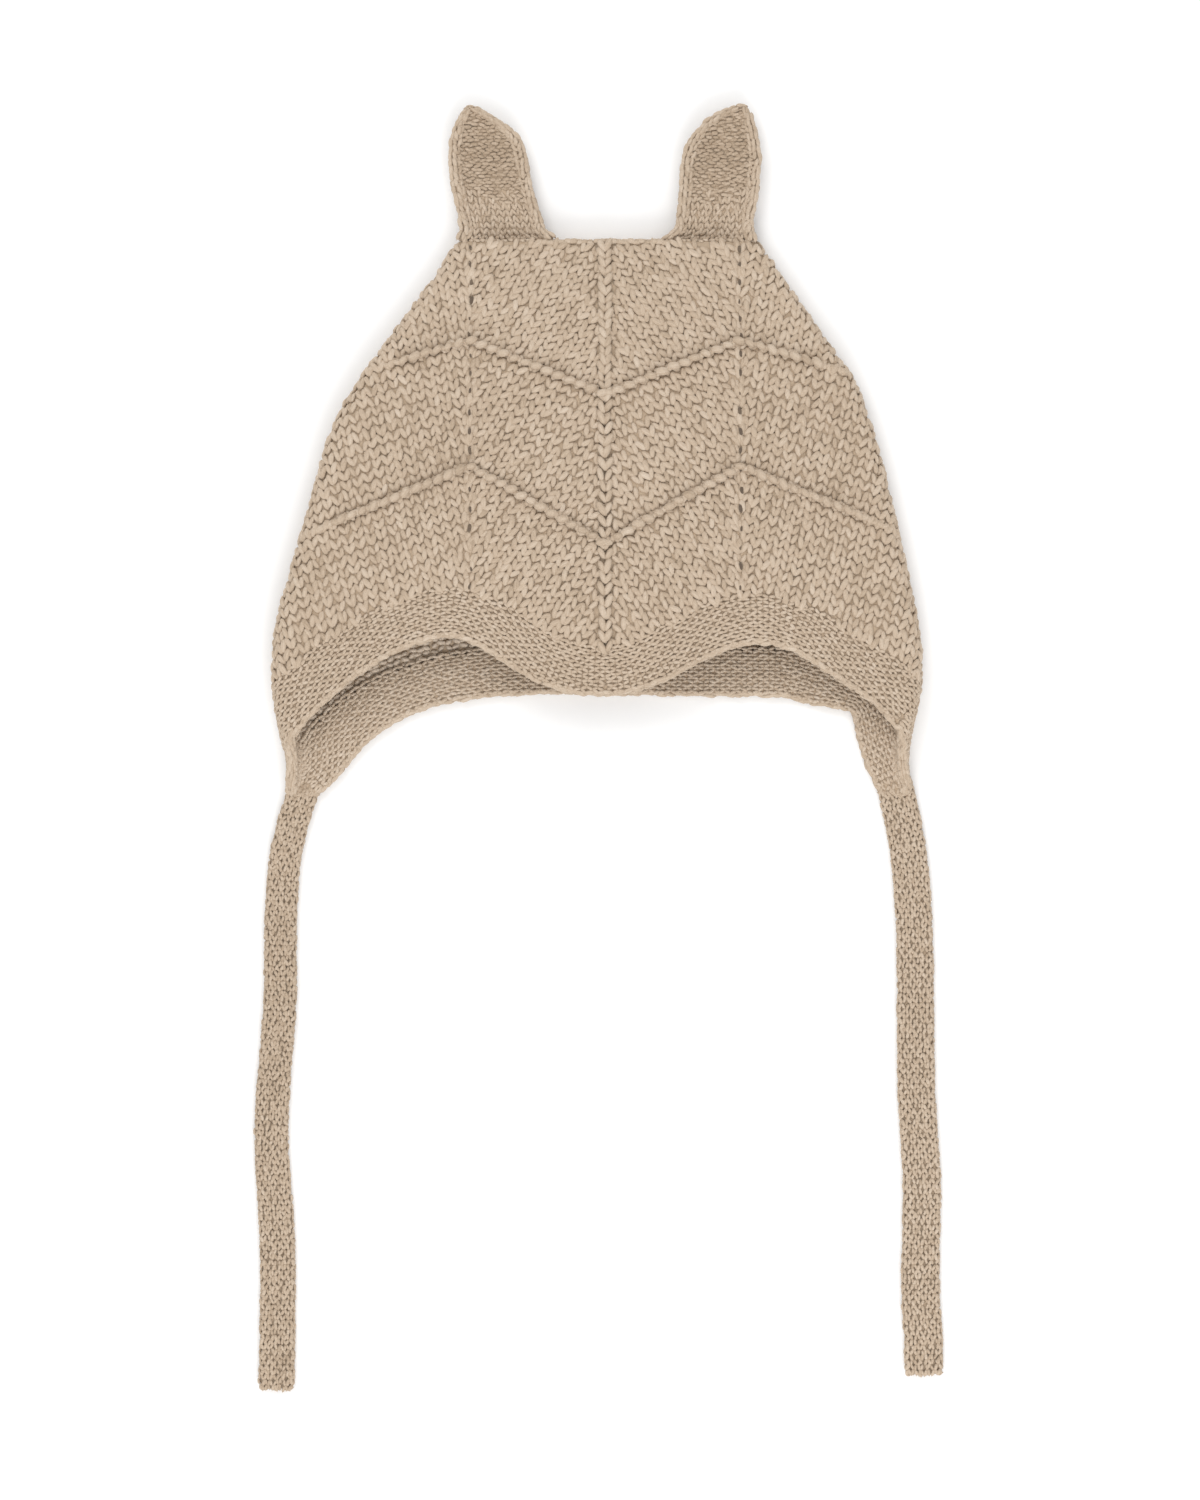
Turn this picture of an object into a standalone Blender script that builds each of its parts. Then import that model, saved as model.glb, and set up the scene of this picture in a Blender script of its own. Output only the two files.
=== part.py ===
"""A hand-knitted baby bonnet with two ears, lying face up on a table as it was laid out.

X runs to the viewer's right, Y from the ties towards the ears and Z up from the table. The origin is on the
table, under the centre rib, half way along the crown.
"""
import bisect
import math

import bmesh
import bpy
import numpy as np
from mathutils import Vector

# Crown sizes, in metres
CROWN_LENGTH = 0.1735
LEFT_HALF_WIDTH = 0.1038
RIGHT_HALF_WIDTH = 0.0988
LOFT = 0.0200
CROWN_WALL = 0.0026
LEAST_HOLLOW = 0.0010
ORIGIN_SHARE = 0.5

# Raised knitting on the crown
RIDGE_HEIGHT = 0.0008
RIDGE_WIDTH = 0.0026
RIB_HEIGHT = 0.0008
RIB_WIDTH = 0.0035

# Border, ears and ties
BORDER_WALL = 0.0032
BORDER_WIDTH = 0.0140
BROW_DIP = 0.0045
EAR_WIDTH = 0.0270
EAR_HEIGHT = 0.0414
EAR_WALL = 0.0028
EAR_CUP = 0.0045
EAR_TIP_LIFT = 0.0030
TIE_THICKNESS = 0.0030
LEFT_TIE_START_WIDTH = 0.0096
LEFT_TIE_END_WIDTH = 0.0114
RIGHT_TIE_START_WIDTH = 0.0112
RIGHT_TIE_END_WIDTH = 0.0122
TIE_END_ROUNDING = 0.0012
PIECE_GAP = 0.0003

# How finely the walls are divided
RUN_COLUMNS = 15
FOLD_COLUMNS = 8
BORDER_ROWS = 4
CROWN_ROWS = 4
EDGE_SAMPLES = 480
EAR_ROWS = 13
EAR_COLUMNS = 10
TIE_STEPS = 3

# Sections of the crown from the flap tips to the top seam. The height is a share of CROWN_LENGTH, the left
# and right widths are shares of the half widths, and the heights of the front wall above the table, in the
# middle and at the side folds, are shares of LOFT.
HEIGHT, LEFT, RIGHT, MIDDLE, FOLD = range(5)
SECTIONS = (
    (0.00, 0.966, 0.974, 0.80, 0.46),
    (0.06, 0.960, 0.961, 0.86, 0.49),
    (0.11, 0.980, 0.970, 0.91, 0.52),
    (0.17, 0.997, 0.994, 0.96, 0.56),
    (0.25, 1.000, 1.000, 1.00, 0.60),
    (0.32, 0.985, 0.984, 1.00, 0.60),
    (0.39, 0.952, 0.959, 0.98, 0.60),
    (0.53, 0.884, 0.903, 0.92, 0.58),
    (0.68, 0.805, 0.833, 0.82, 0.54),
    (0.75, 0.736, 0.783, 0.75, 0.50),
    (0.82, 0.651, 0.696, 0.66, 0.46),
    (0.89, 0.565, 0.611, 0.57, 0.42),
    (0.95, 0.493, 0.538, 0.48, 0.38),
    (1.00, 0.443, 0.481, 0.38, 0.33),
)

# The free edge of the border, read across each wall from the centre to the side fold. The first column is a
# share of the wall's flat run, the others are shares of CROWN_LENGTH.
ACROSS, FRONT_LEFT, FRONT_RIGHT, BACK_LEFT, BACK_RIGHT = range(5)
EDGE_WAVE = (
    (0.00, 0.180, 0.180, 0.184, 0.184),
    (0.10, 0.186, 0.188, 0.185, 0.184),
    (0.20, 0.203, 0.208, 0.185, 0.183),
    (0.30, 0.233, 0.236, 0.183, 0.182),
    (0.40, 0.268, 0.261, 0.178, 0.182),
    (0.50, 0.285, 0.274, 0.169, 0.181),
    (0.60, 0.274, 0.267, 0.153, 0.179),
    (0.70, 0.248, 0.239, 0.127, 0.167),
    (0.80, 0.211, 0.203, 0.086, 0.157),
    (0.85, 0.188, 0.186, 0.060, 0.143),
    (0.90, 0.164, 0.168, 0.026, 0.074),
    (0.95, 0.139, 0.147, 0.000, 0.004),
    (1.00, 0.112, 0.120, 0.000, 0.000),
)

# The two garter ridges across the front, as shares of the run and of CROWN_LENGTH
LOWER_RIDGE = ((0.00, 0.450), (0.50, 0.589), (1.00, 0.468))
UPPER_RIDGE = ((0.00, 0.717), (0.67, 0.816), (1.00, 0.765))

# Ears from base to tip: the height is a share of EAR_HEIGHT, the half width and the lean away from the
# middle of the base are shares of EAR_WIDTH
EAR_HALF_WIDTH, EAR_LEAN = 1, 2
LEFT_EAR = (
    (0.00, 0.590, -0.060),
    (0.06, 0.520, -0.030),
    (0.16, 0.500, 0.010),
    (0.32, 0.485, 0.075),
    (0.48, 0.475, 0.130),
    (0.62, 0.462, 0.155),
    (0.72, 0.430, 0.175),
    (0.80, 0.375, 0.205),
    (0.87, 0.285, 0.250),
    (0.94, 0.160, 0.310),
    (1.00, 0.040, 0.350),
)
RIGHT_EAR = (
    (0.00, 0.570, -0.050),
    (0.06, 0.490, -0.005),
    (0.16, 0.465, 0.015),
    (0.32, 0.470, 0.050),
    (0.48, 0.475, 0.070),
    (0.62, 0.465, 0.090),
    (0.70, 0.435, 0.105),
    (0.78, 0.385, 0.130),
    (0.86, 0.310, 0.170),
    (0.93, 0.215, 0.230),
    (1.00, 0.060, 0.320),
)

# The ties as they lie, in metres: the middle of the band from the flap tip to its free end
LEFT_TIE_ROUTE = (
    (-0.0951, -0.0871), (-0.0968, -0.0920), (-0.0991, -0.1008), (-0.1003, -0.1070), (-0.1011, -0.1148),
    (-0.1016, -0.1258), (-0.1017, -0.1383), (-0.1018, -0.1508), (-0.1027, -0.1633), (-0.1038, -0.1758),
    (-0.1045, -0.1883), (-0.1044, -0.2008), (-0.1035, -0.2133), (-0.1028, -0.2258), (-0.1025, -0.2383),
    (-0.1027, -0.2508), (-0.1028, -0.2633), (-0.1030, -0.2730),
)
RIGHT_TIE_ROUTE = (
    (0.0915, -0.0871), (0.0929, -0.0930), (0.0944, -0.1008), (0.0956, -0.1102), (0.0964, -0.1195),
    (0.0970, -0.1320), (0.0972, -0.1445), (0.0973, -0.1570), (0.0974, -0.1695), (0.0977, -0.1820),
    (0.0984, -0.1945), (0.0992, -0.2070), (0.0992, -0.2195), (0.0989, -0.2320), (0.0989, -0.2445),
    (0.0997, -0.2570), (0.1000, -0.2683),
)

# The knitting wool, a beige melange
WOOL_COLOUR = (0.515, 0.407, 0.309, 1.0)
WOOL_ROUGHNESS = 0.95


def smooth(table, column, place):
    """Read one column of a table between its rows, along a smooth curve."""
    places = [row[0] for row in table]
    values = [row[column] for row in table]
    slopes = np.gradient(values, places)
    after = min(max(bisect.bisect_right(places, place), 1), len(places) - 1)
    before = after - 1
    step = places[after] - places[before]
    part = min(max((place - places[before]) / step, 0.0), 1.0)
    ease = part * part * (3.0 - 2.0 * part)
    lean_in = part * (1.0 - part) ** 2 * step * slopes[before]
    lean_out = part * part * (1.0 - part) * step * slopes[after]
    return float(values[before] * (1.0 - ease) + values[after] * ease + lean_in - lean_out)


def straight(table, place):
    """Read a two-column table between its rows, along straight lines."""
    return float(np.interp(place, [row[0] for row in table], [row[1] for row in table]))


def section(side, height):
    """Half width, middle height and fold radius of the outer wall at a height up the crown."""
    if side < 0:
        half_width = smooth(SECTIONS, LEFT, height) * LEFT_HALF_WIDTH
    else:
        half_width = smooth(SECTIONS, RIGHT, height) * RIGHT_HALF_WIDTH
    least_fold = 2.0 * max(BORDER_WALL, CROWN_WALL) + LEAST_HOLLOW
    fold = max(smooth(SECTIONS, FOLD, height) * LOFT, least_fold)
    middle = max(smooth(SECTIONS, MIDDLE, height) * LOFT, fold)
    return half_width, middle, fold / 2.0


def ridge_places(station):
    """Heights of the two ridges at a station: a W across the front, level round the back."""
    across = min(station, 1.0)
    return straight(LOWER_RIDGE, across), straight(UPPER_RIDGE, across)


def relief(station, height, run):
    """How far the ridges and the centre rib stand proud of the front wall."""
    facing = min(max(2.0 - station, 0.0), 1.0)
    ridge = max(1.0 - abs(height - place) * CROWN_LENGTH / RIDGE_WIDTH for place in ridge_places(station))
    rib = 1.0 - station * run / RIB_WIDTH
    return max(ridge * RIDGE_HEIGHT * facing, rib * RIB_HEIGHT, 0.0)


def brow_dip(station, height, run):
    """The centre point of the brow sinks a little towards the back wall."""
    from_centre = station * run / BORDER_WIDTH
    above_edge = max(height - EDGE_WAVE[0][FRONT_LEFT], 0.0) * CROWN_LENGTH / BORDER_WIDTH
    return BROW_DIP * math.exp(-(from_centre / 2.0) ** 2 - (above_edge / 2.0) ** 2)


def wall_point(side, station, height, inset=0.0):
    """A point of the wall. Station 0 is the front centre, 1 to 2 the side fold and 3 the back centre."""
    half_width, middle, radius = section(side, height)
    run = half_width - radius
    if station <= 1.0:
        x = station * run
        dome = (1.0 - station * station) ** 1.5
        z = 2.0 * radius + (middle - 2.0 * radius) * dome
        z += relief(station, height, run) - brow_dip(station, height, run) - inset
    elif station < 2.0:
        angle = (station - 1.0) * math.pi
        reach = radius - inset
        x = run + reach * math.sin(angle)
        z = radius + reach * math.cos(angle) + relief(station, height, run) * math.cos(angle / 2.0) ** 2
    else:
        x = (3.0 - station) * run
        z = inset
    return Vector((side * x, (height - ORIGIN_SHARE) * CROWN_LENGTH, z))


def edge_height(side, station):
    """Where the border's free edge lies at a station, as a share of CROWN_LENGTH."""
    front, back = (FRONT_LEFT, BACK_LEFT) if side < 0 else (FRONT_RIGHT, BACK_RIGHT)
    if station <= 1.0:
        return smooth(EDGE_WAVE, front, station)
    if station >= 2.0:
        return max(smooth(EDGE_WAVE, back, 3.0 - station), 0.0)
    share = ((1.0 + math.cos((station - 1.0) * math.pi)) / 2.0) ** 2.5
    return share * EDGE_WAVE[-1][front] + (1.0 - share) * EDGE_WAVE[-1][back]


def ring_columns():
    """Side and station of each column, once round: front centre, right fold, back centre, left fold."""
    rib_edge = RIB_WIDTH / RIGHT_HALF_WIDTH
    spread = [1.0 - (1.0 - step / RUN_COLUMNS) ** 1.35 for step in range(1, RUN_COLUMNS + 1)]
    run = [0.0, rib_edge] + [place for place in spread if place > 1.5 * rib_edge]
    fold = [1.0 + step / FOLD_COLUMNS for step in range(1, FOLD_COLUMNS)]
    half = run + fold + [3.0 - place for place in reversed(run)]
    return [(1, station) for station in half] + [(-1, station) for station in reversed(half[1:-1])]


def line_beside_edge(columns, away):
    """Heights of a line round the opening that stays the same distance away from the free edge."""
    def place_round(side, station):
        half_width, _, radius = section(side, 0.15)
        run = half_width - radius
        before_fold = min(station, 1.0) * run
        in_fold = min(max(station - 1.0, 0.0), 1.0) * math.pi * radius
        after_fold = max(station - 2.0, 0.0) * run
        return before_fold + in_fold + after_fold

    stations = [3.0 * step / EDGE_SAMPLES for step in range(EDGE_SAMPLES + 1)]
    half_ring = {side: place_round(side, 3.0) for side in (-1, 1)}
    around = []
    edge = []
    for side in (-1, 1):
        for station in stations:
            place = place_round(side, station)
            for unrolled in (side * place, side * (2.0 * half_ring[side] - place)):
                around.append(unrolled)
                edge.append(edge_height(side, station) * CROWN_LENGTH)
    around = np.array(around)
    edge = np.array(edge)
    heights = []
    for side, station in columns:
        distance = around - side * place_round(side, station)
        near = np.abs(distance) < away
        reach = np.sqrt(away ** 2 - distance[near] ** 2)
        heights.append(float(np.max(edge[near] + reach)) / CROWN_LENGTH)
    return heights


def add_rings(mesh, rings):
    """Join closed rings of points one after another, and return the rings of new vertices."""
    made = [[mesh.verts.new(point) for point in ring] for ring in rings]
    for lower, upper in zip(made, made[1:]):
        join_rings(mesh, lower, upper)
    return made


def join_rings(mesh, lower, upper):
    """One band of triangles between two rings. All bands split alike, so rims that face each other match."""
    count = len(lower)
    for index in range(count):
        after = (index + 1) % count
        mesh.faces.new((lower[index], lower[after], upper[after]))
        mesh.faces.new((lower[index], upper[after], upper[index]))


def close_flat_ring(mesh, ring):
    """Close a flattened ring, whose front and back columns face each other."""
    half = len(ring) // 2
    for step in range(half // 2):
        right = (ring[step], ring[step + 1], ring[half - step - 1], ring[half - step])
        left = (ring[-step], ring[-step - 1], ring[half + step + 1], ring[(half + step) % len(ring)])
        for corners in (right, left):
            mesh.faces.new(list(dict.fromkeys(corners)))


def add_object(name, mesh, material):
    """Turn the finished faces outwards and make them a named object."""
    bmesh.ops.recalc_face_normals(mesh, faces=mesh.faces)
    if mesh.calc_volume(signed=True) < 0.0:
        bmesh.ops.reverse_faces(mesh, faces=mesh.faces)
    bmesh.ops.triangulate(mesh, faces=mesh.faces)
    data = bpy.data.meshes.new(name)
    mesh.to_mesh(data)
    mesh.free()
    data.shade_smooth()
    data.set_sharp_from_angle(angle=math.radians(50.0))
    data.materials.append(material)
    made = bpy.data.objects.new(name, data)
    bpy.context.scene.collection.objects.link(made)
    return made


def between(start, end, steps):
    """Evenly spaced places from start to end, with both."""
    return [start + (end - start) * step / steps for step in range(steps + 1)]


def crown_rows(station, start):
    """Heights of the crown's rows in one column, with three rows on each ridge."""
    lower, upper = ridge_places(station)
    half_ridge = RIDGE_WIDTH / CROWN_LENGTH
    rows = between(start, lower - half_ridge, CROWN_ROWS)
    rows += [lower]
    rows += between(lower + half_ridge, upper - half_ridge, CROWN_ROWS)
    rows += [upper]
    rows += between(upper + half_ridge, 1.0, CROWN_ROWS)
    return rows


def rings_of(columns, heights, inset):
    """Turn the heights of each column into rings of wall points."""
    count = len(heights[0])
    return [
        [wall_point(side, station, rows[index], inset) for (side, station), rows in zip(columns, heights)]
        for index in range(count)
    ]


def make_crown(material):
    """The stockinette body: a hollow shell, open at the seam with the border and closed at the top."""
    columns = ring_columns()
    starts = line_beside_edge(columns, BORDER_WIDTH + PIECE_GAP)
    heights = [crown_rows(station, start) for (_, station), start in zip(columns, starts)]
    inner_top = 1.0 - CROWN_WALL / CROWN_LENGTH
    inner_heights = [rows[:-1] + [inner_top] for rows in heights]
    mesh = bmesh.new()
    outer = add_rings(mesh, rings_of(columns, heights, 0.0))
    inner = add_rings(mesh, rings_of(columns, inner_heights, CROWN_WALL))
    join_rings(mesh, outer[0], inner[0])
    close_flat_ring(mesh, outer[-1])
    close_flat_ring(mesh, inner[-1])
    return add_object("crown", mesh, material)


def make_border(material):
    """The garter band round the opening. It thins to the crown's wall where it meets the crown."""
    columns = ring_columns()
    seams = line_beside_edge(columns, BORDER_WIDTH)
    heights = [
        between(edge_height(side, station), seam, BORDER_ROWS)
        for (side, station), seam in zip(columns, seams)
    ]
    mesh = bmesh.new()
    inner_rings = rings_of(columns, heights, BORDER_WALL)[:-1]
    inner_rings += rings_of(columns, heights, CROWN_WALL)[-1:]
    outer = add_rings(mesh, rings_of(columns, heights, 0.0))
    inner = add_rings(mesh, inner_rings)
    join_rings(mesh, outer[0], inner[0])
    join_rings(mesh, outer[-1], inner[-1])
    return add_object("border", mesh, material)


def ear_ring(table, side, height):
    """One cross-section of an ear: a cupped sheet with a thicker, rolled rim."""
    half_width = smooth(table, EAR_HALF_WIDTH, height) * EAR_WIDTH
    seam_end = section(side, 1.0)[0]
    middle = side * (seam_end - EAR_WIDTH / 2.0 + smooth(table, EAR_LEAN, height) * EAR_WIDTH)
    cup = EAR_CUP * half_width * 2.0 / EAR_WIDTH
    lift = EAR_WALL / 2.0 + EAR_TIP_LIFT * height * height
    base = (1.0 - ORIGIN_SHARE) * CROWN_LENGTH + PIECE_GAP
    front = []
    back = []
    for step in range(EAR_COLUMNS + 1):
        share = 2.0 * step / EAR_COLUMNS - 1.0
        slope = 2.0 * cup * share / half_width
        normal = Vector((-slope, 0.0, 1.0)).normalized()
        thickness = EAR_WALL * min(1.0 + 0.35 * share ** 4, half_width * 4.0 / EAR_WALL)
        reach = half_width - thickness / 2.0 * abs(normal.x)
        point = Vector((middle + share * reach, base + height * EAR_HEIGHT, lift + cup * share * share))
        front.append(point + normal * thickness / 2.0)
        back.append(point - normal * EAR_WALL / 2.0)
    return front + back[::-1]


def make_ear(name, table, side, material):
    """A leaf-shaped ear, cupped towards the front, standing on one end of the top seam."""
    rings = [ear_ring(table, side, height) for height in between(0.0, 1.0, EAR_ROWS)]
    mesh = bmesh.new()
    made = add_rings(mesh, rings)
    for ring in (made[0], made[-1]):
        for step in range(EAR_COLUMNS):
            mesh.faces.new((ring[step], ring[step + 1], ring[-step - 2], ring[-step - 1]))
    return add_object(name, mesh, material)


def smooth_route(route):
    """Points along a smooth curve through the route's own points."""
    points = [Vector((x, y, TIE_THICKNESS / 2.0)) for x, y in route]
    padded = [2.0 * points[0] - points[1]] + points + [2.0 * points[-1] - points[-2]]
    curve = []
    for before, start, end, after in zip(padded, padded[1:], padded[2:], padded[3:]):
        for step in range(TIE_STEPS):
            part = step / TIE_STEPS
            bend = (2.0 * before - 5.0 * start + 4.0 * end - after) * part ** 2
            twist = (3.0 * start - before - 3.0 * end + after) * part ** 3
            curve.append((2.0 * start + (end - before) * part + bend + twist) / 2.0)
    return curve + [points[-1]]


def make_tie(name, route, start_width, end_width, material):
    """A flat garter band, laid on the table from its flap tip to its free end, where the corners are round."""
    curve = smooth_route(route)
    last_run = curve[-1] - curve[-2]
    curve.insert(-1, curve[-1] - last_run.normalized() * TIE_END_ROUNDING)
    half_thickness = TIE_THICKNESS / 2.0
    outline = (
        (-1.0, -0.5), (-0.9, -1.0), (0.9, -1.0), (1.0, -0.5),
        (1.0, 0.5), (0.9, 1.0), (-0.9, 1.0), (-1.0, 0.5),
    )
    rings = []
    for index, point in enumerate(curve):
        half_width = (start_width + (end_width - start_width) * index / (len(curve) - 1)) / 2.0
        if index == len(curve) - 1:
            half_width -= TIE_END_ROUNDING
        ahead = curve[min(index + 1, len(curve) - 1)] - curve[max(index - 1, 0)]
        if index == 0:
            ahead = Vector((0.0, -1.0, 0.0))
        sideways = Vector((-ahead.y, ahead.x, 0.0)).normalized()
        rings.append([
            point + sideways * across * half_width + Vector((0.0, 0.0, up * half_thickness))
            for across, up in outline
        ])
    mesh = bmesh.new()
    made = add_rings(mesh, rings)
    mesh.faces.new(made[0])
    mesh.faces.new(made[-1])
    return add_object(name, mesh, material)


def make_wool():
    """Soft knitting wool, with no shine."""
    material = bpy.data.materials.new("knitted_wool")
    material.use_nodes = True
    shader = material.node_tree.nodes["Principled BSDF"]
    shader.inputs["Base Color"].default_value = WOOL_COLOUR
    shader.inputs["Roughness"].default_value = WOOL_ROUGHNESS
    shader.inputs["Metallic"].default_value = 0.0
    return material


def make_bonnet():
    """Clear the scene and make every piece of the bonnet."""
    for old in list(bpy.data.objects):
        bpy.data.objects.remove(old, do_unlink=True)
    wool = make_wool()
    make_crown(wool)
    make_border(wool)
    make_ear("left_ear", LEFT_EAR, -1, wool)
    make_ear("right_ear", RIGHT_EAR, 1, wool)
    make_tie("left_tie", LEFT_TIE_ROUTE, LEFT_TIE_START_WIDTH, LEFT_TIE_END_WIDTH, wool)
    make_tie("right_tie", RIGHT_TIE_ROUTE, RIGHT_TIE_START_WIDTH, RIGHT_TIE_END_WIDTH, wool)


make_bonnet()
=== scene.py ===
# %% [markdown]
# A hand-knitted baby bonnet, stitch by stitch.
# The real bonnet is one soft beige yarn. The crown is stockinette, rows of V stitches, with two raised
# garter ridges and a centre rib. A garter border runs round the opening and narrows into two long ties,
# and two cupped ears stand on the top seam.
# Here each piece is a thin ground cloth with yarn strands laid on it. Geometry Nodes make every strand,
# and plain functions work out where the needles would have put it.

# %% Load the fixed frame
import bisect
import math

import bmesh
import bpy
import numpy as np
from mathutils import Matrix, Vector


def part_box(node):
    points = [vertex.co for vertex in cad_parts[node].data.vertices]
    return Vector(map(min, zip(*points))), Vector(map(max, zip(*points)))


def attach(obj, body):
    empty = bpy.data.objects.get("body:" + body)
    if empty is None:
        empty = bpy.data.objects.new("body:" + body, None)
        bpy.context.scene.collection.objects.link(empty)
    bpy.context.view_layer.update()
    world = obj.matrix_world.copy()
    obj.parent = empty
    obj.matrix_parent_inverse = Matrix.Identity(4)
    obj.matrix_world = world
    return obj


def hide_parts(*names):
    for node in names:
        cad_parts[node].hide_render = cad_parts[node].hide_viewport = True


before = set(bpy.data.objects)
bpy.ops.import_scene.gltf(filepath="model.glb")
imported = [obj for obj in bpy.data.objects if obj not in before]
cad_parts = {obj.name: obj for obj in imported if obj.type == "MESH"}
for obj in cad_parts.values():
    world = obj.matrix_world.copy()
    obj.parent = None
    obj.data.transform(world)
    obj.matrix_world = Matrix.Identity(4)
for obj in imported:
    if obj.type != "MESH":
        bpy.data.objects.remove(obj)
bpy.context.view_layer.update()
CROWN_LOW, CROWN_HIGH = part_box("crown")
LEFT_HALF_WIDTH = -CROWN_LOW.x
RIGHT_HALF_WIDTH = CROWN_HIGH.x
CROWN_LENGTH = 2.0 * CROWN_HIGH.y
print("crown", round(LEFT_HALF_WIDTH + RIGHT_HALF_WIDTH, 4), "m wide,", round(CROWN_LENGTH, 4), "m long")

# %% [markdown]
# The sizes of the knitting. A stitch 3.65 mm wide and a row 2.6 mm high is about 27 stitches and 38 rows to
# 10 cm, a usual gauge for fine wool. The wall sizes are the ones that the solids have.

# %% Sizes of the cloth and of the knitting, in metres
LOFT = 0.0200
CROWN_WALL = 0.0026
BORDER_WALL = 0.0032
BORDER_WIDTH = 0.0140
BROW_DIP = 0.0045
STITCH_WIDTH = 0.00365
ROW_HEIGHT = 0.0026
INCREASE_PLACE = 0.0420
GROUND_DEPTH = 0.0006
BACK_GROUND_DEPTH = 0.0012
STRAND_DEPTH = 0.0006
PLACE_SPREAD = 0.00021
LOWEST_STRAND = 0.0011
DOME_POWER = 1.5
FOLD_EASE = 2.5
TANGENT_STEP = 0.0003
KNIT_SEED = 7

# %% [markdown]
# The shape of the crown is a short table of sections, and the wave of its free edge is another. A smooth
# curve through the rows of a table gives every place between them. The same tables shape the solids, so
# the knitting lies where they are. The first column of a table is the place that a row stands for.

# %% Tables of the crown's sections and of its free edge
LEFT, RIGHT, MIDDLE, FOLD = range(1, 5)
SECTIONS = (
    (0.00, 0.966, 0.974, 0.80, 0.46),
    (0.06, 0.960, 0.961, 0.86, 0.49),
    (0.11, 0.980, 0.970, 0.91, 0.52),
    (0.17, 0.997, 0.994, 0.96, 0.56),
    (0.25, 1.000, 1.000, 1.00, 0.60),
    (0.32, 0.985, 0.984, 1.00, 0.60),
    (0.39, 0.952, 0.959, 0.98, 0.60),
    (0.53, 0.884, 0.903, 0.92, 0.58),
    (0.68, 0.805, 0.833, 0.82, 0.54),
    (0.75, 0.736, 0.783, 0.75, 0.50),
    (0.82, 0.651, 0.696, 0.66, 0.46),
    (0.89, 0.565, 0.611, 0.57, 0.42),
    (0.95, 0.493, 0.538, 0.48, 0.38),
    (1.00, 0.443, 0.481, 0.38, 0.33),
)
FRONT_LEFT, FRONT_RIGHT, BACK_LEFT, BACK_RIGHT = range(1, 5)
EDGE_WAVE = (
    (0.00, 0.180, 0.180, 0.184, 0.184),
    (0.10, 0.186, 0.188, 0.185, 0.184),
    (0.20, 0.203, 0.208, 0.185, 0.183),
    (0.30, 0.233, 0.236, 0.183, 0.182),
    (0.40, 0.268, 0.261, 0.178, 0.182),
    (0.50, 0.285, 0.274, 0.169, 0.181),
    (0.60, 0.274, 0.267, 0.153, 0.179),
    (0.70, 0.248, 0.239, 0.127, 0.167),
    (0.80, 0.211, 0.203, 0.086, 0.157),
    (0.85, 0.188, 0.186, 0.060, 0.143),
    (0.90, 0.164, 0.168, 0.026, 0.074),
    (0.95, 0.139, 0.147, 0.000, 0.004),
    (1.00, 0.112, 0.120, 0.000, 0.000),
)
READ_COUNT = 401
READ_PLACES = np.linspace(0.0, 1.0, READ_COUNT)


def read_smooth(table, column):
    """One column of a table as a smooth curve over the whole range from 0 to 1."""
    places = [row[0] for row in table]
    values = [row[column] for row in table]
    slopes = np.gradient(values, places)
    curve = []
    for place in READ_PLACES:
        after = min(max(bisect.bisect_right(places, place), 1), len(places) - 1)
        before = after - 1
        step = places[after] - places[before]
        part = (place - places[before]) / step
        ease = part * part * (3.0 - 2.0 * part)
        lean_in = part * (1.0 - part) ** 2 * step * slopes[before]
        lean_out = part * part * (1.0 - part) * step * slopes[after]
        curve.append(values[before] * (1.0 - ease) + values[after] * ease + lean_in - lean_out)
    return np.array(curve)


def at(curve, place):
    """Read a smooth curve at one place or at many."""
    return np.interp(place, READ_PLACES, curve)


WIDTHS = {-1: read_smooth(SECTIONS, LEFT) * LEFT_HALF_WIDTH,
          1: read_smooth(SECTIONS, RIGHT) * RIGHT_HALF_WIDTH}
MIDDLES = read_smooth(SECTIONS, MIDDLE) * LOFT
FOLDS = read_smooth(SECTIONS, FOLD) * LOFT
FRONT_EDGES = {-1: read_smooth(EDGE_WAVE, FRONT_LEFT), 1: read_smooth(EDGE_WAVE, FRONT_RIGHT)}
BACK_EDGES = {-1: read_smooth(EDGE_WAVE, BACK_LEFT), 1: read_smooth(EDGE_WAVE, BACK_RIGHT)}
print("front edge runs from", round(float(FRONT_EDGES[1].min()), 3),
      "to", round(float(FRONT_EDGES[1].max()), 3))

# %% [markdown]
# A place on the crown's wall is named by how far round it lies from the front centre, in metres along the
# wall, and by its height as a share of the crown's length. One function turns such places into points in
# space: the domed front, the round side fold and the flat back that lies on the table. Stations are a
# second name for places round the wall, the same at every height.

# %% The wall of the crown as a surface
FRONT_CENTRE, FOLD_START, MID_FOLD, FOLD_END, BACK_CENTRE = 0.0, 1.0, 1.5, 2.0, 3.0


def run_and_fold(side, height):
    """The flat run of each wall and the length round the side fold."""
    fold = at(FOLDS, height)
    run = at(WIDTHS[side], height) - fold / 2.0
    return run, math.pi * fold / 2.0


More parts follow.
